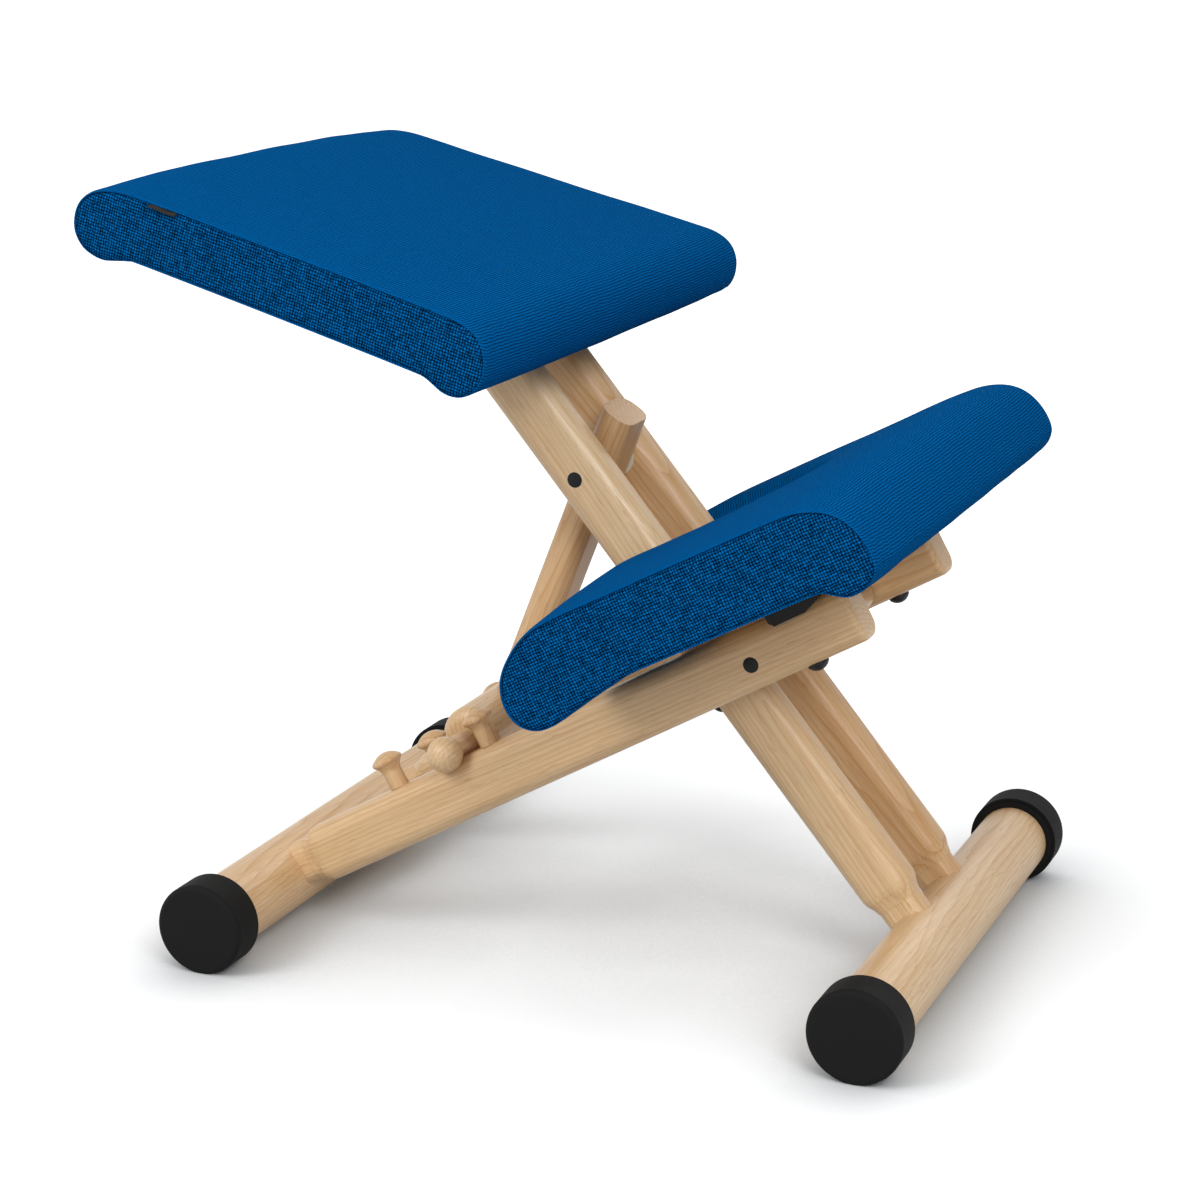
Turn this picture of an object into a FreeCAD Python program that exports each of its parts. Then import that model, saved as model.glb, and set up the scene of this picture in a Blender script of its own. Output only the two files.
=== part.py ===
"""Kneeling chair: two crossed wooden frames, a strut that props them open, a seat and a knee pad.

Millimetres. +X is the front of the chair, where the knees rest, +Y is its left side and +Z is up.
The sizes are worked out with x = 0 at the rear rail's axis and the floor at z = 0. At the end the
whole chair is moved along X, so that the origin is at the middle of its bounding box, on the floor.
"""
import FreeCAD, Part
import math
import os

V = FreeCAD.Vector

# Foot rails and their rubber caps
RAIL_D = 50.2
CHAIR_W = 410.0
FOOT_SPACING = 456.8
CAP_D = 62.6
CAP_LENGTH = 26.9
CAP_END_WALL = 4.0
CAP_ROUNDING = 4.0
CAP_COLLAR_D = 56.6
CAP_COLLAR_LENGTH = 3.0
CAP_FLAT_DEPTH = 0.4
GLUE_GAP = 0.05

# Beams: a rounded section, with a neck at the foot end that is glued into the rail
BEAM_DEPTH = 40.0
BEAM_WIDTH = 30.0
KNEE_BEAM_CORNER = 11.0
SEAT_BEAM_CORNER = 13.0
KNEE_BEAM_ANGLE = 29.45
SEAT_BEAM_ANGLE = 50.23
KNEE_BEAM_OFFSET_Y = 88.6
SEAT_BEAM_OFFSET_Y = 37.3
KNEE_BEAM_RISE = 1.4
KNEE_BEAM_END = 482.0
KNEE_BEAM_END_ROUNDING = 4.5
KNEE_SHOULDER = 33.0
SEAT_SHOULDER = 34.0
SHOULDER_TAPER = 13.0
SHOULDER_CURVE = ((0.0, 0.9), (0.32, 0.66), (0.7, 0.17), (1.0, 0.0))
NECK_DEPTH = 31.0
NECK_WIDTH = 24.0
NECK_CORNER = 10.5
NECK_SOCKET = 18.0
SEAT_BEAM_LENGTH = 529.5

# Pivot between the frames: two pins through the knee beams into the ends of a cross rail
PIVOT_STATION = 403.5
PIVOT_DROP = 2.7
CROSS_RAIL_HEIGHT = 36.0
CROSS_RAIL_CORNER = 11.0
PIN_D = 10.4
PIN_GRIP = 28.0
PIN_CLEARANCE = 0.05
PLUG_THICKNESS = 2.6
PLUG_DOME = 0.7
WASHER_D = 24.0
WASHER_THICKNESS = 1.0
SIDE_CLEARANCE = 0.2
SOFT_CLEARANCE = 0.3

# Pegs on the knee beams, and the strut whose crossbar sits between them
PEG_FIRST_STATION = 120.3
PEG_SPACING = 39.25
PEG_COUNT = 3
PEG_IN_USE = 1
PEG_STEM_D = 13.6
PEG_HEAD_D = 21.6
PEG_HEAD_RISE = 19.5
PEG_HEIGHT = 25.5
PEG_SPIGOT_D = 10.0
PEG_SPIGOT = 15.0
CROSSBAR_D = 15.4
BALL_D = 24.4
BALL_OFFSET_Y = 106.5
BALL_SEAT = 10.0
ROLLER_D = 42.0
ROLLER_LENGTH = 140.0
ROLLER_ROUNDING = 8.0
STRUT_BELOW_SEAT = 144.7
STRUT_DROP = 2.0
STRUT_DEPTH = 24.0
STRUT_WIDTH = 42.0
STRUT_CORNER = 10.5
STRUT_HEAD = 40.5
STRUT_HEAD_CUT = 11.0
STRUT_SEAT_DEPTH = 8.0

# Seat
SEAT_TILT = 14.87
SEAT_SET_BACK = 48.4
SEAT_WIDTH = 444.0
SEAT_REAR_WIDTH = 404.0
SEAT_LENGTH = 302.2
SEAT_THICKNESS = 40.8
SEAT_ROLL_RADIUS = 23.2
SEAT_ROLL_DROP = 5.6
SEAT_RECESS_MARGIN = 40.0
SEAT_CROWN = 4.0

# Knee pad
PAD_STATION = 424.5
PAD_HEIGHT = 32.4
PAD_TILT_BACK = 1.75
PAD_WIDTH = 446.0
PAD_FRONT_WIDTH = 425.0
PAD_LENGTH = 255.8
PAD_THICKNESS = 49.4
PAD_TOP_RADIUS = 39.0
PAD_HEEL_RADIUS = 20.5
PAD_ROLL_DROP = 10.0
PAD_REAR_MARGIN = 81.0
PAD_FRONT_MARGIN = 39.5
PAD_CROWN = 6.0
NOTCH_WIDTH = 124.0
NOTCH_TIP = 28.9
NOTCH_FLARE = 14.0

# Boards under the cushions, and what fixes them
BOARD_THICKNESS = 12.0
BOARD_SIDE_MARGIN = 18.0
BOARD_END_MARGIN = 6.0
BOARD_NOTCH_MARGIN = 10.0
SIDE_DRAW = 3.0
SADDLE_STATION = 451.8
SADDLE_LENGTH = 46.5
SADDLE_WALL = 3.0
SADDLE_CHEEK = 6.4
DOME_D = 14.5
DOME_HEIGHT = 5.5
BOLT_D = 8.0
PAD_BOLT_STATION = 439.5
CROSS_BOLT_STATION = 210.0
CROSS_BOLT_GRIP = 34.0
TEE_NUT_D = 20.0
TEE_NUT_FLANGE = 1.5
TEE_NUT_BARREL_D = 11.0
TEE_NUT_BARREL = 9.0
BRACKET_THICKNESS = 3.0
BRACKET_FLANGE = 16.0
BRACKET_LENGTH = 60.0
BRACKET_DROP = 20.0
SCREW_D = 5.0
SCREW_HEAD_D = 9.0
SCREW_HEAD_HEIGHT = 2.4
SCREW_GRIP = 9.0

RAIL_R = RAIL_D / 2
CAP_R = CAP_D / 2
AXLE_Z = CAP_R - CAP_FLAT_DEPTH
SIDES = {"left": 1, "right": -1}
ORDER_NAMES = ("rear", "middle", "front")


def turned(x, z, degrees):
    """The point (x, z) turned clockwise in the side view, where X is right and Z is up."""
    a = math.radians(degrees)
    return x * math.cos(a) + z * math.sin(a), z * math.cos(a) - x * math.sin(a)


def knee_point(along, rise, y=0.0):
    """A place on the knee frame: along the beams from the rear rail, and above their axis."""
    x, z = turned(along, rise + KNEE_BEAM_RISE, -KNEE_BEAM_ANGLE)
    return V(x, y, z + AXLE_Z)


def seat_frame_point(along, rise, y=0.0):
    """A place on the seat frame: along the beams from the front rail, and in front of their axis."""
    x, z = turned(-along, rise, SEAT_BEAM_ANGLE)
    return V(x + FOOT_SPACING, y, z + AXLE_Z)


PIVOT = knee_point(PIVOT_STATION, -PIVOT_DROP)
HINGE = seat_frame_point(SEAT_BEAM_LENGTH - STRUT_BELOW_SEAT, -STRUT_DROP)
BAR_STATION = (PEG_FIRST_STATION + PEG_IN_USE * PEG_SPACING
               + PEG_STEM_D / 2 + CROSSBAR_D / 2 + SOFT_CLEARANCE)
BAR_RISE = BEAM_DEPTH / 2 + CROSSBAR_D / 2 + SOFT_CLEARANCE
BAR = knee_point(BAR_STATION, BAR_RISE)
STRUT_LENGTH = (HINGE - BAR).Length
STRUT_LEAN = math.degrees(math.atan2(HINGE.x - BAR.x, HINGE.z - BAR.z))
SEAT_BEAM_TOP = seat_frame_point(SEAT_BEAM_LENGTH, 0)
PAD_TILT = KNEE_BEAM_ANGLE - PAD_TILT_BACK
PAD_ORIGIN = knee_point(PAD_STATION, PAD_HEIGHT)
KNEE_INNER_FACE = KNEE_BEAM_OFFSET_Y - BEAM_WIDTH / 2
KNEE_OUTER_FACE = KNEE_BEAM_OFFSET_Y + BEAM_WIDTH / 2
SEAT_INNER_FACE = SEAT_BEAM_OFFSET_Y - BEAM_WIDTH / 2
SEAT_OUTER_FACE = SEAT_BEAM_OFFSET_Y + BEAM_WIDTH / 2
PIN_BORE_R = PIN_D / 2 + PIN_CLEARANCE


def seat_beam_axis_to_pivot():
    """How far the pivot stands in front of the seat beams' axis, and how far up the beams it is."""
    rise, along = turned(PIVOT.x - FOOT_SPACING, PIVOT.z - AXLE_Z, -SEAT_BEAM_ANGLE)[::-1]
    return rise, -along


PIVOT_FRONT, PIVOT_ALONG = seat_beam_axis_to_pivot()


def placed(shape, origin, turn):
    """The shape turned about Y, clockwise in the side view, and set at the origin given."""
    moved = shape.copy()
    step = FreeCAD.Placement(origin, FreeCAD.Rotation(V(0, 1, 0), turn))
    moved.Placement = step.multiply(shape.Placement)
    return moved


def on_knee_frame(shape):
    return placed(shape, knee_point(0, 0), -KNEE_BEAM_ANGLE)


def on_seat_frame(shape):
    """Local X runs down the beams, so a station up the beams is a negative X."""
    return placed(shape, seat_frame_point(0, 0), SEAT_BEAM_ANGLE)


def on_seat(shape):
    return placed(shape, seat_origin(), SEAT_TILT)


def on_pad(shape):
    return placed(shape, PAD_ORIGIN, -PAD_TILT)


def on_strut(shape):
    """Local Z runs up the strut from the crossbar, and local X is the strut's front."""
    return placed(shape, BAR, STRUT_LEAN)


def seat_origin():
    """The middle of the seat's underside, set back along the seat from the tops of the beams."""
    x, z = turned(-SEAT_SET_BACK, 0, SEAT_TILT)
    return V(SEAT_BEAM_TOP.x + x, 0, SEAT_BEAM_TOP.z + z)


def cylinder_y(radius, y0, y1, x=0.0, z=0.0):
    return Part.makeCylinder(radius, y1 - y0, V(x, y0, z), V(0, 1, 0))


def box(x0, x1, y0, y1, z0, z1):
    return Part.makeBox(x1 - x0, y1 - y0, z1 - z0, V(x0, y0, z0))


def side_span(side, inner, outer):
    """The two y values of a stretch on one side of the middle, lowest first."""
    return sorted((SIDES[side] * inner, SIDES[side] * outer))


def rounded_section(x, depth, width, corner, y=0.0):
    """A rounded rectangle across a beam at the station x: depth along Z, width along Y."""
    c, s = corner, corner * (1 - math.sqrt(0.5))
    a, b = width / 2, depth / 2
    edges = []
    for i in range(4):
        def spot(p, q):
            for _ in range(i):
                p, q = -q, p
            return p, q
        h, v = (a, b) if i % 2 == 0 else (b, a)
        first = spot(h, v - c)
        middle = spot(h - s, v - s)
        last = spot(h - c, v)
        following = spot(-(h - c), v)
        points = [V(x, y + p, q) for p, q in (first, middle, last, following)]
        edges.append(Part.Arc(*points[:3]).toShape())
        if (points[2] - points[3]).Length > 1e-6:
            edges.append(Part.LineSegment(points[2], points[3]).toShape())
    return Part.Wire(edges)


def prism(x0, x1, depth, width, corner, y=0.0):
    face = Part.Face(rounded_section(x0, depth, width, corner, y))
    return face.extrude(V(x1 - x0, 0, 0))


def tapered(x0, x1, sizes0, sizes1, y=0.0):
    """A short loft between two rounded sections, each given as depth, width and corner."""
    wires = [rounded_section(x0, *sizes0, y), rounded_section(x1, *sizes1, y)]
    return Part.makeLoft(wires, True, True)


def revolved(points_and_bulges, axis_origin, axis):
    """A turned piece. Each entry is a point (radius, height), or an arc's middle and end points."""
    across = V(1, 0, 0) if abs(axis.x) < 0.5 else V(0, 0, 1)

    def spot(radius, height):
        return axis_origin + across * radius + axis * height
    last = spot(*points_and_bulges[0])
    edges = []
    for entry in points_and_bulges[1:]:
        if isinstance(entry[0], tuple):
            middle, end = spot(*entry[0]), spot(*entry[1])
            edges.append(Part.Arc(last, middle, end).toShape())
        else:
            end = spot(*entry)
            edges.append(Part.LineSegment(last, end).toShape())
        last = end
    edges.append(Part.LineSegment(last, spot(*points_and_bulges[0])).toShape())
    return Part.Face(Part.Wire(edges)).revolve(axis_origin, axis, 360)


def foot_rail(x, necks):
    """A round rail between the caps, with a socket for each beam's neck."""
    end = CHAIR_W / 2 - CAP_END_WALL - GLUE_GAP
    rail = cylinder_y(RAIL_R, -end, end, x, AXLE_Z)
    return rail.cut(Part.makeCompound(necks))


def foot_cap(x, side):
    """A rubber cup with a collar, a rounded rim and a small flat where it meets the floor."""
    end = CHAIR_W / 2
    inner = end - CAP_LENGTH
    body = cylinder_y(CAP_R, *side_span(side, inner, end), x, AXLE_Z)
    rim = [e for e in body.Edges if abs(e.CenterOfMass.y - SIDES[side] * end) < 0.01
           and abs(e.Length - math.pi * CAP_D) < 0.01]
    body = body.makeFillet(CAP_ROUNDING, rim)
    collar_y = side_span(side, inner - CAP_COLLAR_LENGTH, inner + CAP_ROUNDING)
    body = body.fuse(cylinder_y(CAP_COLLAR_D / 2, *collar_y, x, AXLE_Z))
    socket_y = side_span(side, inner - 2 * CAP_COLLAR_LENGTH, end - CAP_END_WALL)
    body = body.cut(cylinder_y(RAIL_R + GLUE_GAP, *socket_y, x, AXLE_Z))
    below = box(x - CAP_D, x + CAP_D, *side_span(side, inner - CAP_D, end + CAP_D), -CAP_D, 0)
    return body.cut(below).removeSplitter()


def neck_sizes(extra=0.0):
    return NECK_DEPTH + 2 * extra, NECK_WIDTH + 2 * extra, NECK_CORNER + extra


def socket_floor():
    """How deep a neck goes, as a distance from the rail's axis."""
    return RAIL_R - NECK_SOCKET


def knee_neck(y, extra=0.0):
    start = socket_floor() - extra
    return on_knee_frame(prism(start, KNEE_SHOULDER, *neck_sizes(extra), y))


def seat_neck(y, extra=0.0):
    start = socket_floor() - extra
    return on_seat_frame(prism(-SEAT_SHOULDER, -start, *neck_sizes(extra), y))


def knee_beam(side):
    """An outer beam: a square front end with eased edges, and a shoulder over the rear rail."""
    y = SIDES[side] * KNEE_BEAM_OFFSET_Y
    full = (BEAM_DEPTH, BEAM_WIDTH, KNEE_BEAM_CORNER)
    bar = prism(KNEE_SHOULDER + SHOULDER_TAPER, KNEE_BEAM_END, *full, y)
    front = [e for e in bar.Edges if abs(e.CenterOfMass.x - KNEE_BEAM_END) < 0.01]
    bar = bar.makeFillet(KNEE_BEAM_END_ROUNDING, front)
    for piece in shoulder(KNEE_SHOULDER, 1, full, y):
        bar = bar.fuse(piece)
    beam = on_knee_frame(bar).fuse(knee_neck(y))
    y_span = side_span(side, KNEE_INNER_FACE - BEAM_WIDTH, KNEE_OUTER_FACE + BEAM_WIDTH)
    beam = beam.cut(cylinder_y(PIN_BORE_R, *y_span, PIVOT.x, PIVOT.z))
    for index in range(PEG_COUNT):
        beam = beam.cut(on_knee_frame(peg_spigot(index, y, GLUE_GAP)))
    return beam.cut(on_knee_frame(bolt_hole(PAD_BOLT_STATION, y))).removeSplitter()


def shoulder(start, direction, full, y):
    """A beam's end, eased off in a short ogee from its full section to its neck."""
    neck = neck_sizes()
    pieces = []
    for (near, near_share), (far, far_share) in zip(SHOULDER_CURVE, SHOULDER_CURVE[1:]):
        ends = sorted((start + direction * SHOULDER_TAPER * t, share)
                      for t, share in ((near, near_share), (far, far_share)))
        sizes = [[f + (n - f) * share for f, n in zip(full, neck)] for _, share in ends]
        pieces.append(tapered(ends[0][0], ends[1][0], *sizes, y))
    return pieces


def bolt_hole(station, y):
    radius = BOLT_D / 2 + GLUE_GAP
    return Part.makeCylinder(radius, 2 * BEAM_DEPTH, V(station, y, -BEAM_DEPTH), V(0, 0, 1))


def seat_beam(side):
    """An inner beam, cut off along the seat's underside at the top."""
    y = SIDES[side] * SEAT_BEAM_OFFSET_Y
    full = (BEAM_DEPTH, BEAM_WIDTH, SEAT_BEAM_CORNER)
    top = SEAT_BEAM_LENGTH + BEAM_DEPTH * 2
    bar = prism(-top, -SEAT_SHOULDER - SHOULDER_TAPER, *full, y)
    for piece in shoulder(-SEAT_SHOULDER, -1, full, y):
        bar = bar.fuse(piece)
    beam = on_seat_frame(bar).fuse(seat_neck(y))
    above = box(-SEAT_LENGTH, SEAT_LENGTH, -SEAT_WIDTH, SEAT_WIDTH, 0, SEAT_LENGTH)
    beam = beam.cut(on_seat(above))
    y_span = side_span(side, SEAT_INNER_FACE - BEAM_WIDTH / 2, SEAT_OUTER_FACE + BEAM_WIDTH)
    beam = beam.cut(cylinder_y(PIN_D / 2 + GLUE_GAP, *y_span, HINGE.x, HINGE.z))
    beam = beam.cut(on_seat_frame(bolt_hole(-CROSS_BOLT_STATION, y)))
    return beam.removeSplitter()


def cross_rail():
    """The rail that the seat beams are bolted to and that the pivot pins go into."""
    end = KNEE_INNER_FACE - WASHER_THICKNESS - 2 * SIDE_CLEARANCE
    depth = 2 * (PIVOT_FRONT - BEAM_DEPTH / 2)
    section = rounded_section(0, depth, CROSS_RAIL_HEIGHT, CROSS_RAIL_CORNER)
    along_y = Part.Face(section).extrude(V(2 * end, 0, 0))
    along_y.rotate(V(0, 0, 0), V(0, 0, 1), 90)
    along_y.translate(V(-PIVOT_ALONG, -end, PIVOT_FRONT))
    rail = on_seat_frame(along_y)
    for side in SIDES:
        span = side_span(side, end - PIN_GRIP, end + PIN_GRIP)
        rail = rail.cut(cylinder_y(PIN_D / 2 + GLUE_GAP, *span, PIVOT.x, PIVOT.z))
        rail = rail.cut(on_seat_frame(cross_bolt_shank(side, GLUE_GAP)))
    return rail


def cross_bolt_shank(side, extra=0.0):
    y = SIDES[side] * SEAT_BEAM_OFFSET_Y
    length = BEAM_DEPTH + CROSS_BOLT_GRIP + extra
    start = V(-CROSS_BOLT_STATION, y, -BEAM_DEPTH / 2)
    return Part.makeCylinder(BOLT_D / 2 + extra, length, start, V(0, 0, 1))


def cap_arc(radius, height, top):
    """An arc from (radius, height) to the axis at the top, round a centre on the axis itself."""
    centre = (top ** 2 - height ** 2 - radius ** 2) / (2 * (top - height))
    sweep = math.atan2(radius, height - centre) / 2
    middle = (top - centre) * math.sin(sweep), centre + (top - centre) * math.cos(sweep)
    return middle, (0, top)


def dome(origin, axis):
    """The low round head of a bolt, standing on its flat side."""
    r, h = DOME_D / 2, DOME_HEIGHT
    outline = [(0, 0), (r, 0), (r, h * 0.25), cap_arc(r, h * 0.25, h)]
    return revolved(outline, origin, axis)


def cross_rail_bolt(side):
    y = SIDES[side] * SEAT_BEAM_OFFSET_Y
    head = dome(V(-CROSS_BOLT_STATION, y, -BEAM_DEPTH / 2), V(0, 0, -1))
    return on_seat_frame(cross_bolt_shank(side).fuse(head).removeSplitter())


def pivot_pin(side):
    """A plain pin, fast in the cross rail, on which the knee beam turns."""
    outer = KNEE_OUTER_FACE - PLUG_THICKNESS - SOFT_CLEARANCE
    inner = KNEE_INNER_FACE - WASHER_THICKNESS - 2 * SIDE_CLEARANCE - PIN_GRIP
    return cylinder_y(PIN_D / 2, *side_span(side, inner, outer), PIVOT.x, PIVOT.z)


def plug(centre, side, face_y):
    """A round black plug, a little domed, that closes a hole in a beam's outer face."""
    radius = PIN_D / 2
    inner = face_y - PLUG_THICKNESS
    outline = [(0, inner), (radius, inner), (radius, face_y),
               cap_arc(radius, face_y, face_y + PLUG_DOME)]
    return revolved(outline, V(centre.x, 0, centre.z), V(0, SIDES[side], 0))


def pivot_washer(side):
    inner = KNEE_INNER_FACE - WASHER_THICKNESS - SIDE_CLEARANCE
    y = side_span(side, inner, inner + WASHER_THICKNESS)
    disc = cylinder_y(WASHER_D / 2, *y, PIVOT.x, PIVOT.z)
    return disc.cut(cylinder_y(PIN_BORE_R, *y, PIVOT.x, PIVOT.z))


def peg_station(index):
    return PEG_FIRST_STATION + index * PEG_SPACING


def peg_spigot(index, y, extra=0.0):
    start = V(peg_station(index), y, BEAM_DEPTH / 2 - PEG_SPIGOT - extra)
    return Part.makeCylinder(PEG_SPIGOT_D / 2 + extra, PEG_SPIGOT + 2 * extra, start, V(0, 0, 1))


def peg(index, side):
    """A turned peg with a waisted stem and a flared, domed head."""
    y = SIDES[side] * KNEE_BEAM_OFFSET_Y
    stem, head = PEG_STEM_D / 2, PEG_HEAD_D / 2
    waist = PEG_HEAD_RISE * 0.5
    flare = ((stem + (head - stem) * 0.22, waist + (PEG_HEAD_RISE - waist) * 0.55),
             (head - 0.6, PEG_HEAD_RISE - 1.5))
    rim = ((head, PEG_HEAD_RISE), (head - 1.6, PEG_HEAD_RISE + 2.4))
    crown = cap_arc(head - 1.6, PEG_HEAD_RISE + 2.4, PEG_HEIGHT)
    spigot = PEG_SPIGOT_D / 2
    outline = [(0, -PEG_SPIGOT), (spigot, -PEG_SPIGOT), (spigot, 0), (stem, 0), (stem, waist),
               flare, rim, crown]
    turned_peg = revolved(outline, V(peg_station(index), y, BEAM_DEPTH / 2), V(0, 0, 1))
    return on_knee_frame(turned_peg)


def crossbar():
    """The dowel through the roller, whose ends lie on the knee beams and carry the balls."""
    end = BALL_OFFSET_Y + BALL_SEAT / 2
    return cylinder_y(CROSSBAR_D / 2, -end, end, BAR.x, BAR.z)


def crossbar_ball(side):
    y = SIDES[side] * BALL_OFFSET_Y
    ball = Part.makeSphere(BALL_D / 2, V(BAR.x, y, BAR.z))
    hole = cylinder_y(CROSSBAR_D / 2 + GLUE_GAP, *side_span(side, 0, BALL_OFFSET_Y + BALL_SEAT / 2
                                                            + GLUE_GAP), BAR.x, BAR.z)
    return ball.cut(hole)


def roller():
    """The thick turned crosspiece at the strut's foot, between the knee beams."""
    half = ROLLER_LENGTH / 2
    body = cylinder_y(ROLLER_D / 2, -half, half, BAR.x, BAR.z)
    rims = [e for e in body.Edges if abs(e.Length - math.pi * ROLLER_D) < 0.01]
    body = body.makeFillet(ROLLER_ROUNDING, rims)
    body = body.cut(cylinder_y(CROSSBAR_D / 2 + GLUE_GAP, -half, half, BAR.x, BAR.z))
    return body.cut(strut_blank(GLUE_GAP))


def strut_blank(extra=0.0):
    """The strut's rounded bar, from its seat in the roller to its slanted top."""
    foot = ROLLER_D / 2 - STRUT_SEAT_DEPTH - extra
    top = STRUT_LENGTH + STRUT_HEAD + STRUT_DEPTH
    depth, width = STRUT_DEPTH + 2 * extra, STRUT_WIDTH + 2 * extra
    bar = prism(-top, -foot, depth, width, STRUT_CORNER + extra)
    bar.rotate(V(0, 0, 0), V(0, 1, 0), 90)
    return on_strut(bar)


def strut():
    """A flat bar, hung on a bolt between the seat beams and glued into the roller."""
    waste = box(-STRUT_WIDTH, STRUT_WIDTH, -STRUT_WIDTH, STRUT_WIDTH, 0, 4 * STRUT_DEPTH)
    cut_turn = STRUT_LEAN + STRUT_HEAD_CUT
    top = BAR + (HINGE - BAR) * ((STRUT_LENGTH + STRUT_HEAD) / STRUT_LENGTH)
    bar = strut_blank().cut(placed(waste, top, cut_turn))
    half = STRUT_WIDTH
    return bar.cut(cylinder_y(PIN_BORE_R, -half, half, HINGE.x, HINGE.z))


def strut_bolt():
    end = SEAT_OUTER_FACE - PLUG_THICKNESS - GLUE_GAP
    return cylinder_y(PIN_D / 2, -end, end, HINGE.x, HINGE.z)


def strut_washer(side):
    inner = STRUT_WIDTH / 2 + SIDE_CLEARANCE
    y = side_span(side, inner, SEAT_INNER_FACE)
    disc = cylinder_y(STRUT_DEPTH / 2 - SIDE_CLEARANCE, *y, HINGE.x, HINGE.z)
    return disc.cut(cylinder_y(PIN_D / 2 + GLUE_GAP, *y, HINGE.x, HINGE.z))


def closed_wire(start, steps, y):
    """A closed outline at one y, from lines and arcs, given as for a turned piece."""
    last = V(start[0], y, start[1])
    first = last
    edges = []
    for entry in steps:
        if isinstance(entry[0], tuple):
            middle, end = (V(p[0], y, p[1]) for p in entry)
            edges.append(Part.Arc(last, middle, end).toShape())
        else:
            end = V(entry[0], y, entry[1])
            edges.append(Part.LineSegment(last, end).toShape())
        last = end
    if (last - first).Length > 1e-6:
        edges.append(Part.LineSegment(last, first).toShape())
    return Part.Wire(edges)


def roll_profile(length, thickness, drop, top_radius, heel_radius, margins, crown, bulge, y):
    """A cushion's side outline: a crowned top, a full roll at each end and a recess below."""
    rear, front = -length / 2 - bulge, length / 2 + bulge
    belly = heel_radius - drop
    diagonal = math.sqrt(0.5)

    def upper(end, sign):
        top_in = end - sign * top_radius
        height = thickness + crown * 0.45 - belly
        return (top_in + sign * top_radius * diagonal, belly + height * diagonal), top_in

    def lower(end, sign):
        return (end - sign * heel_radius * (1 - diagonal), belly - heel_radius * diagonal)
    (front_mid, front_in), (rear_mid, rear_in) = upper(front, 1), upper(rear, -1)
    top = thickness + crown * 0.45
    steps = [
        ((0, thickness + crown), (front_in, top)),
        (front_mid, (front, belly)),
        (lower(front, 1), (front - heel_radius, -drop)),
        (length / 2 - margins[1], 0),
        (-length / 2 + margins[0], 0),
        (rear + heel_radius, -drop),
        (lower(rear, -1), (rear, belly)),
        (rear_mid, (rear_in, top)),
    ]
    return closed_wire((rear_in, top), steps, y)


def side_tool(side, length, rear_width, front_width):
    """A tall round block, whose face draws a cushion's side in between its two corners."""
    run = (front_width - rear_width) / 2
    chord = math.hypot(length, run)
    radius = chord ** 2 / (8 * SIDE_DRAW) + SIDE_DRAW / 2
    out = radius - SIDE_DRAW
    x = -out * run / chord
    y = SIDES[side] * ((rear_width + front_width) / 4 + out * length / chord)
    return Part.makeCylinder(radius, 4 * length, V(x, y, -2 * length), V(0, 0, 1))


def cushion_body(rear_width, front_width, length, crown_height, profile):
    """A soft block lofted across its width, fullest in the middle, with drawn-in sides."""
    half = max(rear_width, front_width) / 2
    wires = []
    for share in (-1.0, -0.93, -0.6, 0.0, 0.6, 0.93, 1.0):
        fullness = 1 - abs(share) ** 2.6
        wires.append(profile(crown_height * (0.12 + 0.88 * fullness), 1.5 * fullness, half * share))
    body = Part.makeLoft(wires, True, False)
    for side in SIDES:
        body = body.cut(side_tool(side, length, rear_width, front_width))
    return body


def seat_cushion():
    def profile(crown, bulge, y):
        margins = (SEAT_RECESS_MARGIN, SEAT_RECESS_MARGIN)
        return roll_profile(SEAT_LENGTH, SEAT_THICKNESS, SEAT_ROLL_DROP, SEAT_ROLL_RADIUS,
                            SEAT_ROLL_RADIUS, margins, crown, bulge, y)
    body = cushion_body(SEAT_REAR_WIDTH, SEAT_WIDTH, SEAT_LENGTH, SEAT_CROWN, profile)
    return on_seat(body.cut(seat_board_blank(GLUE_GAP)))


def board_plan(ends, sides, extra):
    """A board with straight sides, between the stations of its ends and its half widths there."""
    (rear, front), (rear_side, front_side) = ends, sides
    corners = [(rear, -rear_side), (front, -front_side), (front, front_side), (rear, rear_side)]
    points = [V(x, y, -extra) for x, y in corners]
    plan = Part.Face(Part.makePolygon(points + points[:1]))
    return plan.extrude(V(0, 0, BOARD_THICKNESS + 2 * extra))


def seat_board_blank(extra=0.0):
    half = SEAT_LENGTH / 2 - SEAT_RECESS_MARGIN - BOARD_END_MARGIN + extra
    sides = [w / 2 - BOARD_SIDE_MARGIN + extra for w in (SEAT_REAR_WIDTH, SEAT_WIDTH)]
    return board_plan((-half, half), sides, extra)


def seat_board():
    board = on_seat(seat_board_blank())
    for side in SIDES:
        board = board.cut(bracket_screw_shanks(side, GLUE_GAP))
    return board


def notch_tool(widen, low, high):
    """The opening for the seat beams: open at the rear, round at its front and flared on top."""
    wires = []
    for height, flare in ((low, 0), (high * 0.45, 0), (high * 0.8, NOTCH_FLARE * 0.22),
                          (high, NOTCH_FLARE * 0.6), (high * 1.5, NOTCH_FLARE * 1.9)):
        r = NOTCH_WIDTH / 2 + widen + flare
        tip = NOTCH_TIP + widen + flare
        centre = tip - r
        back = -PAD_LENGTH
        slant = r * math.sqrt(0.5)
        edges = [
            Part.LineSegment(V(back, r, height), V(centre, r, height)).toShape(),
            Part.Arc(V(centre, r, height), V(centre + slant, slant, height),
                     V(tip, 0, height)).toShape(),
            Part.Arc(V(tip, 0, height), V(centre + slant, -slant, height),
                     V(centre, -r, height)).toShape(),
            Part.LineSegment(V(centre, -r, height), V(back, -r, height)).toShape(),
            Part.LineSegment(V(back, -r, height), V(back, r, height)).toShape(),
        ]
        wires.append(Part.Wire(edges))
    return Part.makeLoft(wires, True, False)


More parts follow.
